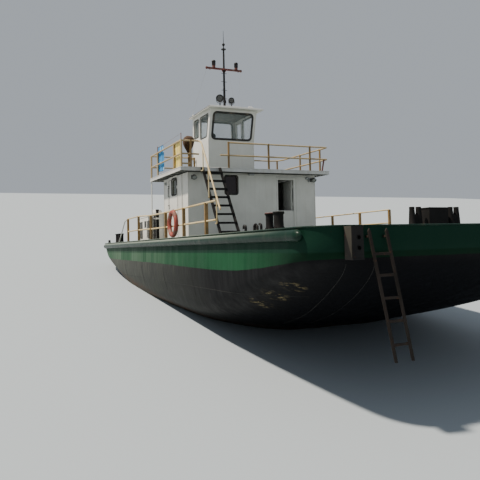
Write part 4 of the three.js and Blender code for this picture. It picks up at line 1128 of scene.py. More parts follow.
def makeVentTrim():
    bm = bmesh.new()
    x0, x1, y0, w, z, pipeX = -5.08, -4.54, -2.9, 0.42, deck, -5.0
    addBox(bm, (x0, y0, z + 0.0003), (x1, y0 + w, z + 1.12))
    addTurned(bm, [(0.058, -0.01), (0.058, 0.14), (0.074, 0.145), (0.075, 0.178), (0.06, 0.19), (0, 0.192)],
              (pipeX, y0 + 0.17, z + 1.12), sides=28, materialIndex=1)
    addTube(bm, [(x0 + 0.03, y0 - 0.004, z + 0.06), (x1 - 0.03, y0 - 0.004, z + 0.06),
                 (x1 - 0.03, y0 - 0.004, z + 1.07), (x0 + 0.03, y0 - 0.004, z + 1.07)], 0.005, 8, closed=True,
            normal=(0, 1, 0))
    for low, high in ((0.10, 0.88), (0.95, 1.06)):
        addBox(bm, (x0 + 0.12, y0 - 0.003, z + low), (x1 + 0.003, y0 + 0.001, z + high), materialIndex=1)
        addBox(bm, (x1 - 0.001, y0 - 0.003, z + low), (x1 + 0.003, y0 + 0.115, z + high), materialIndex=1)
    addSlats(bm, {"Count": 16, "First": (x0 + 0.27, y0 - 0.006, z + 0.12), "Step": (0.0, 0.0, 0.056),
                  "Size": (0.44, 0.014, 0.03), "Turn": (0.5, 0.0, 0.0)}, materialIndex=1)
    finishPiece("ventLocker", bm, hullFrame, ["housePaint", "blackSteel"],
                replaces=["vent_box"],
                bevel=0.004)


makeCasingTrim()
makeHatchTrim()
makeVentTrim()
print("aft deck")

# Propellers and rudders

screw = {"radius": 0.56, "hub": 0.095, "blades": 4, "pitch": 34.0, "thick": 0.02}


def makePropeller(name, side):
    centre = Vector((gear["propellerX"], side * gear["shaftY"], gear["propellerZ"]))
    bm = bmesh.new()
    addTurned(bm, [(0.0, -0.16), (0.03, -0.155), (0.06, -0.135), (0.085, -0.09), (0.095, 0.0), (0.093, 0.148),
                   (0.045, 0.15), (0.045, 0.1885), (0, 0.1885)], centre, (1, 0, 0), 32)
    for k in range(screw["blades"]):
        roll = Matrix.Rotation(k * 2 * math.pi / screw["blades"], 4, "X")
        rows = []
        for i in range(12):
            t = i / 11
            radius = 0.07 + (screw["radius"] - 0.07) * t
            chord = 0.30 * math.sin(math.pi * min(1, 0.22 + 0.78 * t) ** 1.15) ** 0.7 if t < 1 else 0.02
            chord = max(chord, 0.02)
            angle = side * math.radians(90 - screw["pitch"] * (1.25 - 0.5 * t))
            rake = -0.03 * t * t
            front, back = [], []
            for j in range(9):
                u = j / 8 - 0.5
                camber = 0.012 * (1 - (2 * u) ** 2)
                half = screw["thick"] * (1 - 0.75 * t) * math.sqrt(max(0.0, 1 - (2 * u) ** 2)) * 0.5 + 0.0008
                for rows1, sign in ((front, 1), (back, -1)):
                    p = Vector((rake + camber + sign * half, u * chord, radius))
                    p = Matrix.Rotation(angle - side * math.pi / 2, 4, "Z") @ p
                    rows1.append(bm.verts.new(centre + roll @ p))
            rows.append(front + back[::-1])
        skin(bm, rows)
    finishPiece("screw_" + name, bm, hullFrame, "bronze", body="propeller_" + name,
                replaces=["propeller_" + name])


def makeRudder(name, side):
    x, y, z = gear["rudderX"], side * gear["shaftY"], gear["propellerZ"]
    bm = bmesh.new()
    outline = [(-0.62, -0.62), (0.23, -0.62), (0.25, 0.33), (-0.56, 0.33)]
    rows = []
    for height in (0.0, 0.25, 0.5, 0.75, 1.0):
        aft = x + outline[0][0] + (outline[3][0] - outline[0][0]) * height
        fore = x + outline[1][0] + (outline[2][0] - outline[1][0]) * height
        level = z + outline[0][1] + (outline[3][1] - outline[0][1]) * height
        section = []
        for k in range(24):
            u = 0.5 - 0.5 * math.cos(2 * math.pi * k / 24)
            thick = 0.035 * math.sqrt(max(0, math.sin(math.pi * (1 - u) ** 1.4))) + 0.004
            sign = 1 if k < 12 else -1
            section.append(bm.verts.new((aft + (fore - aft) * u, y + sign * thick, level)))
        rows.append(section)
    skin(bm, rows)
    addBar(bm, (x, y, z + 0.28), (x, y, gear["trunkZ"] - 0.0003), 0.055, 24)
    finishPiece("rudderBlade_" + name, bm, hullFrame, "hullWeld", body="rudder_" + name,
                replaces=["rudder_" + name])


for name, side in (("starboard", -1), ("port", 1)):
    makePropeller(name, side)
    makeRudder(name, side)
print("screws and rudders")


# Deckhouse

house = {"halfLength": 1.54, "halfWidth": 2.584, "height": 2.312, "wall": 0.05,
         "frontDoor": {"y": (0.97, 1.64), "z": (0.04, 2.11)},
         "sideDoor": {"x": (-0.9, 0.3), "z": (0.04, 2.285)},
         "frontWindow": {"middle": (-0.925, 1.88), "size": (0.48, 0.66), "corner": 0.075},
         "doorWindow": {"middle": (-0.165, 1.93), "size": (0.64, 0.60), "corner": 0.09},
         "portWindow": {"middle": (0.3, 1.93), "size": (0.64, 0.60), "corner": 0.09}}
for node in ("house_coaming", "house_wall_front", "house_wall_aft", "house_wall_starboard", "house_wall_port",
             "house_door_starboard", "house_door_front", "house_door_front_lower", "support_pole_starboard",
             "support_pole_port",
             "engine_casing", "casing_hatch"):
    repaint(node, "housePaint")
for node in ("wheelhouse_wall_front", "wheelhouse_wall_starboard", "wheelhouse_wall_port",
             "wheelhouse_wall_aft", "wheelhouse_door"):
    repaint(node, "cabPaint")
# the house's front window takes the dark red glass: painted reflection
for node, finish in (("house_glass_front", "redGlassAndReflection"), ("house_door_glass", "sideGlass"),
                     ("house_glass_port", "sideGlass"), ("wheelhouse_glass_front", "cabGlass"),
                     ("wheelhouse_glass_starboard", "cabGlass"), ("wheelhouse_glass_port", "cabGlass"),
                     ("wheelhouse_glass_aft", "cabGlass"), ("wheelhouse_door_glass", "cabGlass")):
    repaint(node, finish)


# A window's outline in a plane: corner points given as (u, v), placed by a function
def windowLine(corners, radius, put):
    return [put(p.x, p.y) for p in rounded([(u, v, 0) for u, v in corners], radius, 6, True)]


def cornersOf(middle, size, grow=0.0):
    (u, v), (w, h) = middle, size
    w, h = w / 2 + grow, h / 2 + grow
    return [(u - w, v - h), (u + w, v - h), (u + w, v + h), (u - w, v + h)]


def makeGasket(name, corners, radius, put, normal, width, proud, body="boat", finish="rubber"):
    bm = bmesh.new()
    line = windowLine(corners, radius, put)
    addTube(bm, line, width, 12, closed=True, normal=normal, flat=proud / width)
    finishPiece(name, bm, houseFrame, finish, body=body)


def makeHouseWindows():
    l, w = house["halfLength"], house["halfWidth"]
    window = house["frontWindow"]
    makeGasket("frontWindowRubber", cornersOf(window["middle"], window["size"], 0.012), 0.085,
               lambda u, v: Vector((l + 0.002, u, v)), (1, 0, 0), 0.030, 0.014)
    window = house["doorWindow"]
    makeGasket("sideDoorWindowRubber", cornersOf(window["middle"], window["size"], 0.012), 0.1,
               lambda u, v: Vector((u, -w + 0.002, v)), (0, 1, 0), 0.034, 0.016, body="house_side_door")
    window = house["portWindow"]
    makeGasket("portWindowRubber", cornersOf(window["middle"], window["size"], 0.012), 0.1,
               lambda u, v: Vector((u, w + 0.002, v)), (0, 1, 0), 0.030, 0.014)


def makeHouseDoorTrim():
    l, w = house["halfLength"], house["halfWidth"]
    bm = bmesh.new()
    (y0, y1), (z0, z1) = house["frontDoor"]["y"], house["frontDoor"]["z"]
    x = l + 0.003
    line = [(x, y0 - 0.03, z0 - 0.03), (x, y1 + 0.03, z0 - 0.03), (x, y1 + 0.03, z1 + 0.03),
            (x, y0 - 0.03, z1 + 0.03)]
    addTube(bm, rounded(line, 0.03, 4, True), 0.034, 10, closed=True, normal=(1, 0, 0), flat=0.5)
    addBox(bm, (l - 0.002, y1 + 0.115, 0.02), (l + 0.012, y1 + 0.150, z1 + 0.11))
    addBox(bm, (l - 0.002, y0 - 0.06, z1 + 0.075), (l + 0.04, y1 + 0.15, z1 + 0.095))
    (x0, x1), (z0, z1) = house["sideDoor"]["x"], house["sideDoor"]["z"]
    y = -w - 0.003
    line = [(x0 - 0.03, y, z0 - 0.03), (x1 + 0.03, y, z0 - 0.03), (x1 + 0.03, y, z1 + 0.03),
            (x0 - 0.03, y, z1 + 0.03)]
    addTube(bm, rounded(line, 0.09, 6, True), 0.026, 10, closed=True, normal=(0, 1, 0), flat=0.5)
    finishPiece("houseDoorFrames", bm, houseFrame, "housePaint")

    bm = bmesh.new()
    line = [(x0 + 0.06, -w + 0.004, z0 + 0.06), (x1 - 0.06, -w + 0.004, z0 + 0.06),
            (x1 - 0.06, -w + 0.004, z1 - 0.06), (x0 + 0.06, -w + 0.004, z1 - 0.06)]
    addTube(bm, rounded(line, 0.08, 5, True), 0.008, 8, closed=True, normal=(0, 1, 0))
    addGrip(bm, (-0.79, -w + 0.006, 1.59), (-0.79, -w + 0.006, 1.94), (0, -0.061, 0), 0.04, 0.011, 10)
    for z in (0.45, 1.25, 2.0):
        addTurned(bm, [(0.028, 0), (0.028, 0.012), (0.013, 0.014), (0.013, 0.05), (0, 0.05)],
                  (-0.84, -w + 0.004, z), (0, -1, 0), 16)
        addBox(bm, (-0.86, -w - 0.05, z - 0.012), (-0.72, -w - 0.034, z + 0.012))
    finishPiece("sideDoorFittings", bm, houseFrame, "blackSteel", body="house_side_door",
                bevel=0.002)

    bm = bmesh.new()
    doorY, doorX = 1.5836, 1.4626
    for z in (1.15, 1.8):
        addTurned(bm, [(0.028, 0), (0.028, 0.012), (0.013, 0.014), (0.013, 0.04), (0, 0.04)],
                  (doorX - 0.6, doorY, z), (0, -1, 0), 16)
        addBox(bm, (doorX - 0.62, doorY - 0.04, z - 0.012), (doorX - 0.5, doorY - 0.026, z + 0.012))
    addBox(bm, (doorX - 0.58, doorY - 0.006, 1.10), (doorX - 0.08, doorY + 0.001, 1.98))
    finishPiece("frontDoorFittings", bm, houseFrame, "housePaint", body="house_front_door",
                bevel=0.004)

    # the shut lower half: a pressed panel, a rail along its top edge and a bolt
    bm = bmesh.new()
    leafX = 1.534
    addTube(bm, rounded([(leafX, 1.04, 0.16), (leafX, 1.57, 0.16), (leafX, 1.57, 0.84), (leafX, 1.04, 0.84)],
                        0.05, 6,
                        True), 0.008, 8, closed=True, normal=(1, 0, 0))
    addBox(bm, (leafX - 0.001, 0.985, 0.905), (leafX + 0.012, 1.625, 0.944))
    addBox(bm, (leafX, 0.99, 0.55), (leafX + 0.016, 1.10, 0.58))
    finishPiece("lowerDoorFittings", bm, houseFrame, "housePaint", body="house_front_door_lower",
                bevel=0.003)


def makeHouseTrim():
    l, w, h = house["halfLength"], house["halfWidth"], house["height"]
    bm = bmesh.new()
    # corner bars, weld seams between wall plates, and the bar where the wall meets its coaming
    for x, y in ((l, -w), (l, w), (-l, -w), (-l, w)):
        addTube(bm, [(x, y, 0.0), (x, y, h - 0.002)], 0.014, 12)
    addTube(bm, [(l, 0.2, 0.01), (l, 0.2, h - 0.002)], 0.002, 6)
    for x in (-1.0, 0.45):
        for side in (-1, 1):
            addTube(bm, [(x, side * w, 0.01), (x, side * w, h - 0.002)], 0.003, 6)
    for side in (-1, 1):
        for y in (-1.3, 0.0, 1.3):
            addTube(bm, [(-l, y, 0.01), (-l, y, h - 0.002)], 0.004, 6)
    line = [(l, -w, 0.006), (l, w, 0.006), (-l, w, 0.006), (-l, -w, 0.006)]
    addTube(bm, line, 0.011, 8, closed=True, normal=(0, 0, 1))
    low = [(l + 0.004, -w - 0.004, deckInHouse(l) + 0.012), (l + 0.004, w + 0.004, deckInHouse(l) + 0.012),
           (-l - 0.004, w + 0.004, deckInHouse(-l) + 0.012), (-l - 0.004, -w - 0.004,
                                                              deckInHouse(-l) + 0.012)]
    addTube(bm, low, 0.013, 8, closed=True, normal=(0, 0, 1))
    finishPiece("houseSeams", bm, houseFrame, "housePaint")
    bm = bmesh.new()
    addTube(bm, rounded([(0.87, -w - 0.022, deckInHouse(0.87) + 0.02), (0.87, -w - 0.022, h - 0.12),
                         (0.87, -w - 0.022, h - 0.006)], 0.04), 0.016, 12)
    for z in (0.4, 1.1, 1.8):
        addBox(bm, (0.845, -w - 0.03, z - 0.012), (0.895, -w + 0.001, z + 0.012))
    addTube(bm, rounded([(l + 0.012, -1.42, h - 0.01), (l + 0.012, -1.42, h - 0.08),
                         (l + 0.012, -2.3, h - 0.08)], 0.03),
            0.008, 8)
    addTube(bm, rounded([(l + 0.012, 2.35, h - 0.06), (l + 0.012, -1.3, h - 0.06)], 0.03), 0.007, 8)
    finishPiece("housePipes", bm, houseFrame, "housePaint")


# Bulkhead lamp with a wire guard; "out" points away from the wall
def addBulkheadLamp(bm, at, out):
    at, out = Vector(at), Vector(out)
    addTurned(bm, [(0.062, 0), (0.062, 0.02), (0.052, 0.026)], at, out, 20)
    addTurned(bm, [(0.046, 0.02), (0.046, 0.05), (0.034, 0.082), (0.0, 0.096)], at, out, 20, materialIndex=1)
    side = out.cross(Vector((0, 0, 1))).normalized()
    for axis in (side, Vector((0, 0, 1))):
        addTube(bm, [at + axis * 0.055 + out * 0.02, at + axis * 0.052 + out * 0.07,
                     at + axis * 0.03 + out * 0.1,
                     at - axis * 0.03 + out * 0.1, at - axis * 0.052 + out * 0.07,
                     at - axis * 0.055 + out * 0.02],
                0.004, 6)


def makeHouseLamps():
    l, w = house["halfLength"], house["halfWidth"]
    bm = bmesh.new()
    addBulkheadLamp(bm, (-1.21, -w - 0.001, 2.14), (0, -1, 0))
    addBulkheadLamp(bm, (-1.21, w + 0.001, 2.14), (0, 1, 0))
    addBulkheadLamp(bm, (l + 0.001, 2.22, 2.19), (1, 0, 0))
    addBox(bm, (l, -0.24, 2.24), (l + 0.11, -0.04, 2.305))
    addBox(bm, (l, 2.28, 2.05), (l + 0.05, 2.36, 2.2))
    finishPiece("houseLamps", bm, houseFrame, ["galvanised", "lens"], bevel=0.002)
    for name, y in (("starboard", -2.4), ("port", 2.45)):
        bm = bmesh.new()
        addBox(bm, (l + 0.0003, y - 0.06, 2.06), (l + 0.012, y + 0.06, 2.2))
        addTube(bm, rounded([(l + 0.005, y, 2.15), (l + 0.09, y, 2.17), (l + 0.145, y, 2.15)], 0.03), 0.014,
                10)
        turn = (0.76, 0, -0.65)
        addTurned(bm, [(0, -0.055), (0.035, -0.05), (0.055, -0.02), (0.07, 0.02), (0.088, 0.075),
                       (0.092, 0.10),
                       (0.084, 0.104), (0.082, 0.09)], (l + 0.135, y, 2.158), turn, 28)
        addTurned(bm, [(0.084, 0.088), (0.05, 0.098), (0, 0.101)], (l + 0.135, y, 2.158), turn, 28,
                  materialIndex=1)
        for dy in (-0.095, 0.095):
            addBar(bm, (l + 0.145, y, 2.15), (l + 0.15, y + dy, 2.14), 0.007, 8)
            addBar(bm, (l + 0.15, y + dy, 2.14), (l + 0.19, y + dy, 2.11), 0.007, 8)
        finishPiece("floodLight_" + name, bm, houseFrame, ["interior", "lens"],
                    replaces=["flood_lamp_" + name])


makeHouseWindows()
makeHouseDoorTrim()
makeHouseTrim()
makeHouseLamps()
print("deckhouse")

# Stair

stair = {"y": -1.89, "half": 0.34, "top": (2.005, 2.429), "run": 1.72, "treads": 8, "tread": (0.18, 0.062)}


def makeStair():
    footX = stair["top"][0] + stair["run"]
    footZ = deckInHouse(footX + 0.08) + 0.0003
    topX, topZ = stair["top"]
    bm = bmesh.new()
    for side in (-1, 1):
        y = stair["y"] + side * stair["half"]
        outline = [(footX - 0.02, y - 0.006, footZ), (footX + 0.08, y - 0.006, footZ),
                   (topX + 0.085, y - 0.006, topZ), (topX + 0.004, y - 0.006, topZ)]
        addPlate(bm, outline, (0, 0.012, 0))
        for dx, wide in ((-0.02, 0.03), (0.05, 0.03)):
            low, high = (footX + dx, footZ), (topX + 0.004 + (dx + 0.02) * 0.81, topZ)
            near = y - 0.018 if side < 0 else y - 0.052
            addPlate(bm, [(low[0], near, low[1]), (low[0] + wide, near, low[1]),
                          (high[0] + wide, near, high[1]), (high[0], near, high[1])], (0, 0.070, 0))
        addBox(bm, (1.9753, y - 0.018, topZ - 0.11), (topX + 0.06, y + 0.018, topZ))
        addBox(bm, (footX - 0.03, y - 0.04, footZ), (footX + 0.09, y + 0.04, footZ + 0.012))
    width, thick = stair["tread"]
    first = 0.62 / (stair["treads"] + 0.35)
    stepT = 1 / (stair["treads"] + 0.35)
    dx = (topX + 0.04) - (footX + 0.035)
    dz = topZ - footZ
    addSlats(bm, {"Count": stair["treads"], "Step": (dx * stepT, 0.0, dz * stepT),
                  "First": (footX + 0.035 + dx * first, stair["y"], footZ + dz * first),
                  "Size": (width, stair["half"] * 2 - 0.01, thick), "Turn": (0.0, 0.0, 0.0)})
    finishPiece("deckStair", bm, houseFrame, "blackSteel", replaces=["stair"])


makeStair()
print("stair")

# Upper deck, its rail and what hangs on it

upper = {"fore": 1.975, "aft": -2.2, "half": 2.98, "bottom": 2.312, "top": 2.439, "bayAft": -2.68,
         "bayHalf": 1.12}


def upperOutline(z, grow=0.0):
    u = upper
    return [(u["fore"] + grow, -u["half"] - grow, z), (u["fore"] + grow, u["half"] + grow, z),
            (u["aft"] - grow, u["half"] + grow, z), (u["aft"] - grow, u["bayHalf"] + grow, z),
            (u["bayAft"] - grow, u["bayHalf"] + grow, z), (u["bayAft"] - grow, -u["bayHalf"] - grow, z),
            (u["aft"] - grow, -u["bayHalf"] - grow, z), (u["aft"] - grow, -u["half"] - grow, z)]


def makeUpperDeck():
    bm = bmesh.new()
    addPlate(bm, upperOutline(upper["top"] - 0.012), (0, 0, 0.012))
    finishPiece("upperDeckPlate", bm, houseFrame, "deckPaint", replaces=["upper_deck"],
                bevel=0.003)
    bm = bmesh.new()
    # the fascia: a flat band with a rolled top edge and a return lip below
    outer, inner = upperOutline(0.0), upperOutline(0.0, -0.012)
    rings = []
    for line, z in ((outer, upper["bottom"]), (outer, upper["top"] - 0.004), (inner, upper["top"] - 0.004),
                    (inner, upper["bottom"])):
        rings.append([bm.verts.new((*corner[:2], z)) for corner in line])
    skin(bm, rings + rings[:1], ends=False)
    addTube(bm, upperOutline(upper["top"] - 0.006), 0.014, 10, closed=True, normal=(0, 0, 1))
    addTube(bm, upperOutline(upper["bottom"] + 0.008, 0.002), 0.010, 8, closed=True, normal=(0, 0, 1))
    finishPiece("upperDeckFascia", bm, houseFrame, "fasciaPaint")
    # the underside in dark grey: painted shade under the deck
    bm = bmesh.new()
    under = upperOutline(upper["bottom"] + 0.035, -0.012)
    addPlate(bm, under, (0, 0, 0.06))
    for x in (1.72, -2.0):
        addBox(bm, (x - 0.02, -2.96, upper["bottom"] + 0.002), (x + 0.02, 2.96, upper["bottom"] + 0.04))
    for y in (-2.78, -2.3, -1.5, -0.75, 0.0, 0.75, 1.5, 2.3, 2.78):
        addBox(bm, (1.56, y - 0.006, upper["bottom"] + 0.002), (1.96, y + 0.006, upper["bottom"] + 0.04))
        addBox(bm, (-2.18, y - 0.006, upper["bottom"] + 0.002), (-1.56, y + 0.006, upper["bottom"] + 0.04))
    for side in (-1, 1):
        for x in (-1.4, -0.8, -0.2, 0.4, 1.0):
            addBox(bm, (x - 0.006, min(side * 2.61, side * 2.96), upper["bottom"] + 0.002),
                   (x + 0.006, max(side * 2.61, side * 2.96), upper["bottom"] + 0.04))
    finishPiece("upperDeckUnderside", bm, houseFrame, "interior")
    bm = bmesh.new()
    for side in (-1, 1):
        x, y = upper["aft"] + 0.06, side * (upper["half"] - 0.04)
        addTurned(bm, [(0.06, 0), (0.06, 0.012), (0.028, 0.014)], (x, y, deckInHouse(x) + 0.004), sides=20)
        addTurned(bm, [(0.028, 0), (0.06, 0.002), (0.06, 0.014)], (x, y, upper["bottom"] - 0.016), sides=20)
    finishPiece("poleFlanges", bm, houseFrame, "housePaint")


rail = {"inset": 0.045, "top": 3.359, "middle": 2.899, "pipe": 0.029, "post": 0.038, "stairStarboard": -2.29,
        # where the top and the middle pipe start beside the stair
        "starts": {"top": -1.17, "middle": -1.49}}


def makeUpperRail():
    x1, x0, y1 = upper["fore"] - rail["inset"], upper["aft"] + rail["inset"], upper["half"] - rail["inset"]
    bayX, bayY = upper["bayAft"] + rail["inset"], upper["bayHalf"] - rail["inset"]
    base, handY = upper["top"] + 0.0003, rail["stairStarboard"]
    starboard = [(x1, -y1), (1.05, -y1), (-1.17, -y1), (x0, -y1)]
    others = [(x0, -bayY), (bayX, -bayY), (bayX, bayY), (x0, bayY), (x0 + 0.13, y1 - 0.13), (-0.17, y1),
              (1.4, y1),
              (x1, 2.17), (x1, 0.42), (x1, -1.17), (x1, -2.591)]
    for name, posts, finish in (("Starboard", starboard, "railOlive"), ("Round", others, "railPost")):
        bm = bmesh.new()
        for x, y in posts:
            addBar(bm, (x, y, base), (x, y, rail["top"] + 0.022), rail["post"], 16)
            addTurned(bm, [(0.032, 0.0), (0.028, 0.008), (0, 0.009)], (x, y, rail["top"] + 0.0215), sides=16)
            addTurned(bm, [(0.055, 0), (0.055, 0.008), (0.036, 0.012)], (x, y, base), sides=18)
        finishPiece("upperRailPosts" + name, bm, houseFrame, finish,
                    replaces=["upper_rail"] if name == "Round" else ())
    bm = bmesh.new()
    for level, start in rail["starts"].items():
        z = rail[level]
        run = [(x1, start, z), (x1, y1, z), (x0 + 0.45, y1, z), (x0 + 0.13, y1 - 0.13, z), (x0, y1 - 0.45, z),
               (x0, bayY, z), (bayX, bayY, z), (bayX, -bayY, z), (x0, -bayY, z), (x0, -y1, z), (x1, -y1, z),
               (x1, handY, z)]
        addTube(bm, rounded(run, 0.075, 5), rail["pipe"], 16)
    addBar(bm, (x1, -y1, upper["top"] + 0.12), (x1, -2.591, upper["top"] + 0.12), rail["pipe"], 14)
    finishPiece("upperRailPipes", bm, houseFrame, "railOlive")
    bm = bmesh.new()
    addBar(bm, (x1, 2.70, upper["top"] + 0.008), (x1, 2.79, rail["middle"]), rail["pipe"], 14)
    finishPiece("cornerStrut", bm, houseFrame, "mastRed")
    # the stair's handrail, with legs across to the stringer
    high, low = Vector((x1 + 0.25, handY, rail["top"] - 0.08)), Vector((3.81, handY, 0.943))
    bm = bmesh.new()
    hooked = [(x1, handY, rail["top"]), high, low, (3.868, handY, 0.905), (3.862, handY, 0.85)]
    addTube(bm, rounded(hooked, 0.10, 8), rail["pipe"], 16)
    slope = (low.z - high.z) / (low.x - high.x)
    for x, foot in ((2.341, 2.29), (2.864, 1.32), (3.567, 0.43)):
        stringerX = 3.737 - foot * (3.737 - 2.05) / 2.429
        leg = [(x, handY, high.z + slope * (x - high.x)), (x, handY, foot), (stringerX, handY, foot),
               (stringerX, stair["y"] - stair["half"] - 0.0185, foot)]
        addTube(bm, rounded(leg, 0.03), 0.021, 14)
    finishPiece("stairHandrail", bm, houseFrame, "railPipe")


makeUpperDeck()
makeUpperRail()
print("upper deck and rail")

# Cloths: each is folded over a line or a pipe at its top edge and hangs down inside the rail
cloths = {
    "rail_cloth_blue": {"x": (-1.29, -0.46), "foot": 2.60, "y": -2.905, "z": 3.575, "radius": 0.0065,
                        "finish": "clothBlue", "over": "clothLine", "waves": 4.1, "deep": 0.040,
                        "phase": 0.6},
    "rail_cloth_yellow": {"x": (0.93, 1.845), "foot": 2.47, "y": -2.935, "z": 3.359, "radius": 0.032,
                          "finish": "clothYellow", "over": "upperRailPipes", "waves": 3.6, "deep": 0.034,
                          "phase": 2.2},
}


# Sticks on two of the posts, with a line between them for the blue cloth
def makeClothLine():
    y = -(upper["half"] - rail["inset"])
    bm = bmesh.new()
    for x in (-1.17, 1.93):
        addBar(bm, (x, y, rail["top"] + 0.02), (x, y, 3.615), 0.014, 10)
    addTube(bm, [(-1.29, y + 0.03, 3.575), (-0.30, y + 0.03, 3.575), (0.8, y + 0.015, 3.578),
                 (1.93, y, 3.60)],
            0.0035, 8)
    finishPiece("clothLine", bm, houseFrame, "ringBand")


def makeCloth(node, s):
    radius, (x0, x1) = s["radius"], s["x"]
    acrossSteps, drop = 56, 60
    over = math.radians(130) * radius
    total = over + s["z"] - s["foot"]
    inner = -2.8995
    bm = bmesh.new()
    uv = bm.loops.layers.uv.new("cloth")
    columns = []
    for i in range(acrossSteps + 1):
        u = i / acrossSteps
        column = []
        for j in range(drop + 1):
            run = total * (j / drop) ** 1.3
            hang = max(0.0, run - over)
            turn = math.radians(130) * max(0.0, 1 - run / over)
            grow = min(1.0, hang / 0.35)
            wave = math.sin(2 * math.pi * s["waves"] * u + s["phase"] + 0.9 * grow * math.sin(3 * u))
            small = math.sin(2 * math.pi * s["waves"] * 2.3 * u + 1.1 + 2.0 * hang)
            fold = 0.5 + 0.38 * wave + 0.12 * small
            sheer = min(1.0, hang / 0.04)
            y = s["y"] + radius * math.cos(turn)
            y += (inner - s["y"] - radius) * sheer + fold * s["deep"] * grow
            z = s["z"] + radius * math.sin(turn) - hang + 0.012 * math.sin(6.0 * u + s["phase"]) * grow
            sway = 0.01 * math.sin(3.1 * hang + s["phase"])
            x = (x0 + x1) / 2 + (u - 0.5) * (x1 - x0) * (1 - 0.04 * grow) + sway
            column.append((bm.verts.new((x, y, z)), (u, j / drop)))
        columns.append(column)
    for a, b in zip(columns, columns[1:]):
        for j in range(drop):
            corners = (a[j], b[j], b[j + 1], a[j + 1])
            face = bm.faces.new([c[0] for c in corners])
            for loop, corner in zip(face.loops, corners):
                loop[uv].uv = corner[1]
    piece = finishPiece(node.replace("rail_", "") + "Drape", bm, houseFrame, s["finish"],
                        replaces=[node], smooth=180)
    thick = piece.modifiers.new("cloth", "SOLIDIFY")
    thick.thickness = 0.003
    thick.offset = 0


makeClothLine()
for node, settings in cloths.items():
    makeCloth(node, settings)
print("cloths")

# Deck lamp under its cover: the cover is gathered round the neck by a cord
lamp = {"x": 1.25, "y": -2.44, "head": 3.445}


def makeDeckLamp():
    x, y, head = lamp["x"], lamp["y"], lamp["head"]
    base = upper["top"] + 0.0003
    bm = bmesh.new()
    addTurned(bm, [(0.11, 0), (0.11, 0.014), (0.10, 0.024), (0.045, 0.03), (0.034, 0.06), (0.034, 0.40),
                   (0.042, 0.41),
                   (0.042, 0.45), (0.034, 0.46), (0.034, head - 0.4603 - base)], (x, y, base), sides=24)
    for k in range(4):
        angle = math.pi / 4 + k * math.pi / 2
        addBar(bm, (x + 0.085 * math.cos(angle), y + 0.085 * math.sin(angle), base + 0.01),
               (x + 0.085 * math.cos(angle), y + 0.085 * math.sin(angle), base + 0.034), 0.012, 6)
    finishPiece("lampPedestal", bm, houseFrame, "railPost", replaces=["lamp_pedestal"])

    profile = [(0.056, -0.456), (0.048, -0.43), (0.042, -0.41), (0.060, -0.37), (0.090, -0.31),
               (0.130, -0.235),
               (0.162, -0.17), (0.186, -0.11), (0.203, -0.05), (0.209, 0.0), (0.206, 0.05), (0.194, 0.10),
               (0.162, 0.15), (0.11, 0.185), (0.05, 0.199), (0.012, 0.202)]
    bm = bmesh.new()
    sides = 72
    rings = []
    for radius, z in profile:
        ring = []
        for k in range(sides):
            angle = 2 * math.pi * k / sides
            gathered = max(0.0, min(1.0, (0.08 - z) / 0.42))
            fold = gathered * (0.065 * math.sin(9 * angle + 2.0 * z) + 0.03 * math.sin(16 * angle + 1.0))
            sag = 0.012 * math.sin(3 * angle + 0.5) * (radius / 0.2)
            reach = min(0.2115, radius * (1 + fold))
            ring.append(bm.verts.new((x + reach * math.cos(angle), y + reach * math.sin(angle),
                                      head + z - sag)))
        rings.append(ring)
    skin(bm, rings, ends=False)
    bm.faces.new(rings[-1])
    cover = finishPiece("lampCanvasCover", bm, houseFrame, "canvas", replaces=["lamp_cover"],
                        smooth=180)
    thick = cover.modifiers.new("canvas", "SOLIDIFY")
    thick.thickness = 0.003
    thick.offset = -1
    bm = bmesh.new()
    addTube(bm, [(x + 0.047 * math.cos(2 * math.pi * k / 24), y + 0.047 * math.sin(2 * math.pi * k / 24),
                  head - 0.412 + 0.004 * math.sin(k)) for k in range(24)], 0.006, 8, closed=True)
    finishPiece("lampCoverTie", bm, houseFrame, "ringBand")


makeDeckLamp()
print("deck lamp")

# Wheelhouse

cab = {"fore": -0.6, "aft": -2.5, "half": 0.995, "knuckle": 3.889, "top": 5.085, "rake": 0.333, "wall": 0.045,
       "roofThick": 0.076, "roofFore": 0.058, "roofAft": -2.53, "roofHalf": 1.157}
cabLean = math.atan2(cab["rake"], cab["top"] - cab["knuckle"])


def onFrontPlane(u, v, off=0.0):
    return Vector((cab["fore"] + math.sin(cabLean) * v + math.cos(cabLean) * off, u,
                   cab["knuckle"] + math.cos(cabLean) * v - math.sin(cabLean) * off))


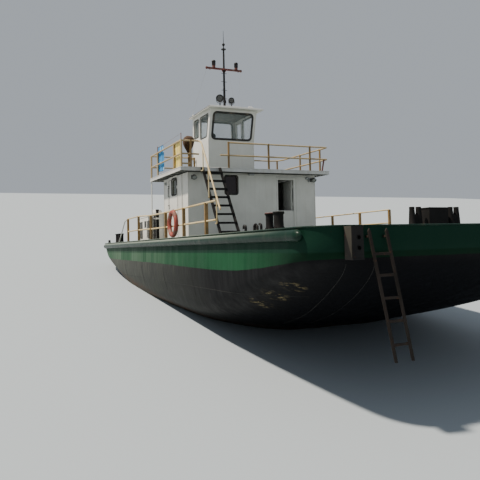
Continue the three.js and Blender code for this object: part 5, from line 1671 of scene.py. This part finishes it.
def makeCabWindows():
    w = cab["half"]
    normal = (math.cos(cabLean), 0, -math.sin(cabLean))
    makeGasket("cabFrontRubber", [(-0.852, 0.063), (0.852, 0.063), (0.852, 1.122), (-0.852, 1.122)], 0.16,
               lambda u, v: onFrontPlane(u, v, 0.004), normal, 0.044, 0.018)
    makeGasket("cabFrontRubberInner", [(-0.84, 0.075), (0.84, 0.075), (0.84, 1.11), (-0.84, 1.11)], 0.15,
               lambda u, v: onFrontPlane(u, v, -0.022), normal, 0.018, 0.026)
    fore = [(-1.572, 4.058), (-0.783, 4.058), (-0.547, 4.957), (-1.572, 4.957)]
    aft = [(-2.342, 4.198), (-1.748, 4.198), (-1.748, 4.957), (-2.342, 4.957)]
    makeGasket("cabStarboardForeRubber", fore, 0.1, lambda u, v: Vector((u, -w - 0.002, v)), (0, 1, 0), 0.022,
               0.012)
    makeGasket("cabStarboardAftRubber", aft, 0.09, lambda u, v: Vector((u, -w - 0.002, v)), (0, 1, 0), 0.022,
               0.012)
    makeGasket("cabPortForeRubber", fore, 0.1, lambda u, v: Vector((u, w + 0.002, v)), (0, 1, 0), 0.022,
               0.012)
    makeGasket("cabAftRubber", cornersOf((0, 4.54), (1.6, 0.92), 0.012), 0.17,
               lambda u, v: Vector((cab["aft"] - 0.002, u, v)), (1, 0, 0), 0.026, 0.014)
    makeGasket("cabDoorRubber", cornersOf((-2.045, 4.49), (0.48, 0.84), 0.01), 0.09,
               lambda u, v: Vector((u, w - 0.002, v)), (0, 1, 0), 0.02, 0.012, body="wheelhouse_door")
    # inner trims, seen through the panes
    makeGasket("cabInnerTrims", cornersOf((0, 4.54), (1.6, 0.92), 0.016), 0.17,
               lambda u, v: Vector((cab["aft"] + 0.056, u, v)), (1, 0, 0), 0.03, 0.008, finish="interior")
    bm = bmesh.new()
    for side in (-1, 1):
        line = windowLine(fore, 0.1, lambda u, v: Vector((u, side * (w - 0.056), v)))
        addTube(bm, line, 0.03, 10, closed=True, normal=(0, 1, 0), flat=0.3)
    addBox(bm, (-2.44, -0.94, cab["top"] - 0.016), (-0.34, 0.94, cab["top"] - 0.002))
    finishPiece("cabSideInnerTrims", bm, houseFrame, "interior")


def makeCabTrim():
    w, fore, aft, knuckle, top = cab["half"], cab["fore"], cab["aft"], cab["knuckle"], cab["top"]
    bm = bmesh.new()
    for side in (-1, 1):
        addTube(bm, [(fore - 0.001, side * w, upper["top"] + 0.004), (fore - 0.001, side * w, knuckle),
                     (fore + cab["rake"] - 0.001, side * w, top - 0.002)], 0.012, 12)
        addTube(bm, [(aft, side * w, upper["top"] + 0.004), (aft, side * w, top - 0.002)], 0.012, 12)
        addTube(bm, [(-1.66, side * w, upper["top"] + 0.01), (-1.66, side * w, top - 0.01)], 0.0035, 6)
    addTube(bm, [(fore, -w, knuckle), (fore, w, knuckle)], 0.007, 8)
    foot = upper["top"] + 0.012
    addTube(bm, [(fore, -w, foot), (fore, w, foot), (aft, w, foot), (aft, -w, foot)], 0.013, 8, closed=True,
            normal=(0, 0, 1))
    addTube(bm, rounded([(-2.43, w + 0.003, upper["top"] + 0.03), (-1.66, w + 0.003, upper["top"] + 0.03),
                         (-1.66, w + 0.003, 5.03), (-2.43, w + 0.003, 5.03)], 0.07, 6, True), 0.022, 10,
            closed=True,
            normal=(0, 1, 0), flat=0.5)
    finishPiece("cabSeams", bm, houseFrame, "cabPaint")
    bm = bmesh.new()
    addGrip(bm, (-1.76, w - 0.004, 3.72), (-1.76, w - 0.004, 3.92), (0, 0.054, 0), 0.03, 0.01, 10)
    addTurned(bm, [(0.03, 0), (0.03, 0.012), (0.014, 0.014), (0.014, 0.05), (0, 0.05)],
              (-1.76, w - 0.003, 3.5),
              (0, 1, 0), 16)
    addBox(bm, (-1.77, w + 0.032, 3.488), (-1.63, w + 0.046, 3.512))
    finishPiece("cabDoorHandle", bm, houseFrame, "galvanised", body="wheelhouse_door",
                bevel=0.002)


def makeRoof():
    x0, x1, w, low = cab["roofAft"], cab["roofFore"], cab["roofHalf"], cab["top"]
    thick = cab["roofThick"]
    bm = bmesh.new()
    addBox(bm, (x0, -w, low), (x1, w, low + thick * 0.8))
    # cambered top plate
    rows = []
    for i in range(15):
        v = i / 14
        y = -w + 2 * w * v
        rise = thick * 0.8 + thick * 0.19 * (1 - (2 * v - 1) ** 2)
        rows.append([bm.verts.new((x, y, low + rise)) for x in (x0 + 0.004, x1 - 0.004)])
    edge = [bm.verts.new((x0 + 0.004, -w, low + 0.02)), bm.verts.new((x1 - 0.004, -w, low + 0.02)),
            bm.verts.new((x1 - 0.004, w, low + 0.02)), bm.verts.new((x0 + 0.004, w, low + 0.02))]
    for a, b in zip(rows, rows[1:]):
        bm.faces.new((a[0], a[1], b[1], b[0]))
    bm.faces.new((edge[0], edge[1], rows[0][1], rows[0][0]))
    bm.faces.new((edge[3], rows[-1][0], rows[-1][1], edge[2]))
    bm.faces.new([edge[0]] + [r[0] for r in rows] + [edge[3]])
    bm.faces.new([edge[1], edge[2]] + [r[1] for r in rows[::-1]])
    bm.faces.new((edge[0], edge[3], edge[2], edge[1]))
    finishPiece("cabRoof", bm, houseFrame, "cabPaint", replaces=["wheelhouse_roof"],
                bevel=0.006)
    bm = bmesh.new()
    rim = low + 0.012
    addTube(bm, [(x1, -w, rim), (x1, w, rim), (x0, w, rim), (x0, -w, rim)], 0.012, 10, closed=True,
            normal=(0, 0, 1))
    addGrip(bm, (-0.2, 0.62, low + 0.06), (-0.2, 0.80, low + 0.06), (0, 0, 0.115), 0.07, 0.013, 10)
    addGrip(bm, (-2.4, -1.05, low + 0.06), (-2.25, -1.05, low + 0.06), (0, 0, 0.10), 0.05, 0.011, 10)
    addTurned(bm, [(0.09, 0.06), (0.09, 0.08), (0.05, 0.085), (0.05, 0.14), (0.13, 0.145), (0.145, 0.18),
                   (0.1, 0.20),
                   (0, 0.21)], (-1.7, 0.55, low), sides=28)
    finishPiece("cabRoofFittings", bm, houseFrame, "cabPaint")


def makeHelm():
    low = upper["top"] + 0.0003
    bm = bmesh.new()
    profile = [(-1.15, low), (-0.72, low), (-0.72, 3.64), (-1.15, 3.52)]
    addPlate(bm, [(x, -0.62, z) for x, z in profile], (0, 1.24, 0))
    addTube(bm, [(-1.12, 0, 3.5), (-1.20, 0, 3.5), (-1.258, 0, 3.5)], [0.05, 0.034, 0.034], 20)
    finishPiece("helmDesk", bm, houseFrame, "interior", replaces=["helm_console"],
                bevel=0.012)
    bm = bmesh.new()
    slope = math.atan2(0.12, 0.43)

    def onDesk(x, y):
        return Vector((x, y, 3.52 + (x + 1.15) * math.tan(slope)))

    up = (-math.sin(slope), 0, math.cos(slope))
    for y in (-0.42, -0.22, 0.22, 0.42):
        addTurned(bm, [(0.062, 0), (0.062, 0.012), (0.054, 0.016)], onDesk(-0.86, y), up, 24)
        addTurned(bm, [(0.053, 0.012), (0.02, 0.014), (0, 0.0145)], onDesk(-0.86, y), up, 24, materialIndex=1)
    for y in (-0.34, 0.34):
        p = onDesk(-1.02, y)
        addBox(bm, (p.x - 0.04, y - 0.05, p.z - 0.01), (p.x + 0.05, y + 0.05, p.z + 0.03))
        addBar(bm, p, p + Vector((-0.05, 0, 0.16)), 0.009, 12)
        addTurned(bm, [(0.0, -0.02), (0.018, -0.012), (0.022, 0), (0.018, 0.012), (0, 0.02)],
                  p + Vector((-0.054, 0, 0.17)),
                  sides=16)
    # a small demister fan stands in the starboard corner of the front window
    fan = Vector((-0.83, -0.70, 4.10))
    addBar(bm, (-0.80, -0.60, 3.62), fan, 0.012, 10)
    addTube(bm, circle(fan, 0.10, 32), 0.012, 8, closed=True, normal=(1, 0, 0))
    addTurned(bm, [(0.09, -0.004), (0.09, 0.004), (0.0, 0.006)], fan, (1, 0, 0), 24)
    addTurned(bm, [(0.0, -0.03), (0.035, -0.025), (0.04, 0.02), (0, 0.03)], fan, (1, 0, 0), 20)
    finishPiece("helmInstruments", bm, houseFrame, ["blackSteel", "lens"])

    centre = Vector((-1.2903, 0, 3.5))
    bm = bmesh.new()
    addTube(bm, circle(centre, 0.282, 48), 0.0178, 14, closed=True, normal=(1, 0, 0))
    addTurned(bm, [(0.0, -0.031), (0.04, -0.03), (0.054, -0.015), (0.054, 0.02), (0.045, 0.0315),
                   (0, 0.0318)], centre,
              (1, 0, 0), 28)
    for k in range(6):
        angle = k * math.pi / 3
        out = Vector((0, math.cos(angle), math.sin(angle)))
        addTube(bm, [centre + out * 0.045, centre + out * 0.10, centre + out * 0.16, centre + out * 0.28],
                [0.012, 0.015, 0.010, 0.012], 12)
    finishPiece("steeringWheel", bm, houseFrame, "blackSteel", body="helm_wheel",
                replaces=["helm_wheel"])


makeCabWindows()
makeCabTrim()
makeRoof()
makeHelm()
print("wheelhouse")

# Mast and searchlights

mast = {"x": -0.79, "y": -0.195, "base": 5.1613, "top": 7.7, "arm": 6.88, "armHalf": 0.755}


def makeMast():
    x, y, base, top, arm, half = (mast[k] for k in ("x", "y", "base", "top", "arm", "armHalf"))
    bm = bmesh.new()
    addTurned(bm, [(0.12, 0), (0.12, 0.02), (0.11, 0.03), (0.06, 0.034), (0.049, 0.05), (0.046, 0.9),
                   (0.047, 0.905),
                   (0.047, 0.93), (0.044, 0.935), (0.036, top - base - 0.01), (0.10, top - base),
                   (0.10, top - base + 0.028),
                   (0.03, top - base + 0.034), (0.022, top - base + 0.05), (0.022, top - base + 0.155)],
              (x, y, base), sides=28)
    addTurned(bm, [(0, -0.062), (0.035, -0.05), (0.058, -0.02), (0.062, 0.005), (0.055, 0.03), (0.03, 0.055),
                   (0, 0.062)],
              (x, y, top + 0.21), sides=24)
    addTube(bm, [(x, y, top + 0.25), (x, y, top + 0.5), (x, y, top + 0.78)], [0.013, 0.010, 0.006], 10)
    for k in range(4):
        angle = math.pi / 4 + k * math.pi / 2
        foot = Vector((x + 0.105 * math.cos(angle), y + 0.105 * math.sin(angle), base + 0.02))
        addPlate(bm, [foot + Vector((0, -0.004, 0)), Vector((x, y - 0.004, base + 0.02)),
                      Vector((x, y - 0.004, base + 0.16))],
                 (0, 0.008, 0))
    for z in (base + 0.5, base + 0.85, base + 1.2, base + 1.55):
        addBar(bm, (x, y - 0.12, z), (x, y + 0.12, z), 0.010, 10)
    # lamp cable down the pole, and the small box it runs from
    addTube(bm, [(x + 0.05, y + 0.012, base + 0.05), (x + 0.052, y + 0.02, base + 0.7),
                 (x + 0.05, y + 0.01, base + 1.2),
                 (x + 0.045, y + 0.014, arm - 0.05)], 0.007, 8)
    addBox(bm, (x + 0.045, y - 0.04, base + 0.3), (x + 0.09, y + 0.04, base + 0.42))
    finishPiece("mastPole", bm, houseFrame, "mastBlack", replaces=["mast"])

    bm = bmesh.new()
    addBox(bm, (x - 0.023, y - half, arm - 0.04), (x + 0.023, y + half, arm + 0.04))
    addPlate(bm, [(x - 0.006, y - 0.13, arm), (x - 0.006, y, arm - 0.21), (x - 0.006, y + 0.13, arm)],
             (0.012, 0, 0))
    addTurned(bm, [(0.06, -0.03), (0.06, 0.03)], (x, y, arm), sides=24)
    for side in (-1, 1):
        addTurned(bm, [(0.03, -0.05), (0.048, -0.03), (0.05, 0.02), (0.035, 0.05)], (x, y + side * half, arm),
                  sides=16)
        addGrip(bm, (x + 0.03, y + side * (half - 0.1), arm - 0.02),
                (x + 0.03, y + side * (half - 0.16), arm - 0.02),
                (0, 0, -0.055), 0.025, 0.007)
    finishPiece("mastArm", bm, houseFrame, "mastRed", bevel=0.004)

    bm = bmesh.new()
    for lampY in (y - 0.445, y + 0.545):
        at = (x, lampY, arm + 0.03)
        addTurned(bm, [(0.068, 0), (0.068, 0.09), (0.05, 0.1)], at, sides=24, materialIndex=2)
        addTurned(bm, [(0.074, 0.085), (0.076, 0.13)], at, sides=24)
        addTurned(bm, [(0.066, 0.13), (0.066, 0.22)], at, sides=24, materialIndex=1)
        addTurned(bm, [(0.076, 0.22), (0.084, 0.23), (0.084, 0.27), (0.06, 0.30), (0, 0.31)], at, sides=24)
        for k in range(8):
            angle = math.pi / 8 + k * math.pi / 4
            dx, dy = 0.07 * math.cos(angle), 0.07 * math.sin(angle)
            addBar(bm, (at[0] + dx, at[1] + dy, at[2] + 0.12), (at[0] + dx, at[1] + dy, at[2] + 0.23), 0.008,
                   8)
    finishPiece("mastLamps", bm, houseFrame, ["mastBlack", "redGlassAndReflection", "mastRed"])

    # taut stays from the arm's ends to the roof's corners
    bm = bmesh.new()
    roof = cab["top"] + 0.04
    for start, end in (((x, y - half + 0.01, arm), (-2.45, -1.08, roof)),
                       ((x, y + half - 0.01, arm), (-2.45, 1.08, roof)),
                       ((x + 0.03, y, top - 0.05), (-0.02, -0.02, roof))):
        addTube(bm, [start, end], 0.0028, 6)
        addTurned(bm, [(0.012, -0.02), (0.016, 0.0), (0.012, 0.03), (0.004, 0.12)], end,
                  Vector(start) - Vector(end), 10)
    finishPiece("mastStays", bm, houseFrame, "galvanised")


lights = {"x": -0.42, "roof": 5.161, "turn": -25.0,
          "rows": [("starboard", -0.540, 0.155, 0.382), ("port", -0.037, 0.125, 0.328)]}


def makeSearchlight(name, y, radius, height):
    bm = bmesh.new()
    at = Vector((lights["x"], y, lights["roof"]))
    head = at + Vector((0, 0, height))
    profile = [(0.0, -0.11), (0.4 * radius, -0.108), (0.72 * radius, -0.09), (0.82 * radius, -0.06)]
    for k in range(4):
        profile += [(0.84 * radius, -0.05 + k * 0.026), (0.80 * radius, -0.043 + k * 0.026),
                    (0.80 * radius, -0.032 + k * 0.026), (0.84 * radius, -0.027 + k * 0.026)]
    profile += [(0.87 * radius, 0.065), (0.99 * radius, 0.08), (0.995 * radius, 0.112),
                (0.93 * radius, 0.1195),
                (0.88 * radius, 0.108)]
    addTurned(bm, profile, head, (1, 0, 0), 36)
    addTurned(bm, [(0.885 * radius, 0.104), (0.5 * radius, 0.112), (0, 0.115)], head, (1, 0, 0), 36,
              materialIndex=1)
    addTube(bm, [head + Vector((0.116, -0.9 * radius, 0)), head + Vector((0.1195, 0, 0)),
                 head + Vector((0.116, 0.9 * radius, 0))], 0.003, 6)
    yoke = [head + Vector((0, -radius * 0.9, 0.01)), head + Vector((0, -radius * 0.92, -radius * 0.6)),
            head + Vector((0, -radius * 0.5, -radius - 0.012)),
            head + Vector((0, radius * 0.5, -radius - 0.012)),
            head + Vector((0, radius * 0.92, -radius * 0.6)), head + Vector((0, radius * 0.9, 0.01))]
    addTube(bm, rounded(yoke, 0.04, 5), 0.011, 10)
    addTurned(bm, [(0.026, 0.0003), (0.024, 0.02), (0.022, height - radius - 0.01)], at, sides=20)
    for side in (-1, 1):
        addTurned(bm, [(0.018, 0), (0.018, 0.008), (0, 0.009)], head + Vector((0, side * radius * 0.9, 0)),
                  (0, side, 0), 12)
    turn = Matrix.Rotation(math.radians(lights["turn"]), 3, "Z")
    bmesh.ops.rotate(bm, verts=bm.verts, cent=at, matrix=turn)
    finishPiece("searchlightHead_" + name, bm, houseFrame, ["mastBlack", "lampGlass"],
                body="searchlight_" + name,
                replaces=["searchlight_" + name])


makeMast()
for row in lights["rows"]:
    makeSearchlight(*row)
print("mast and searchlights")
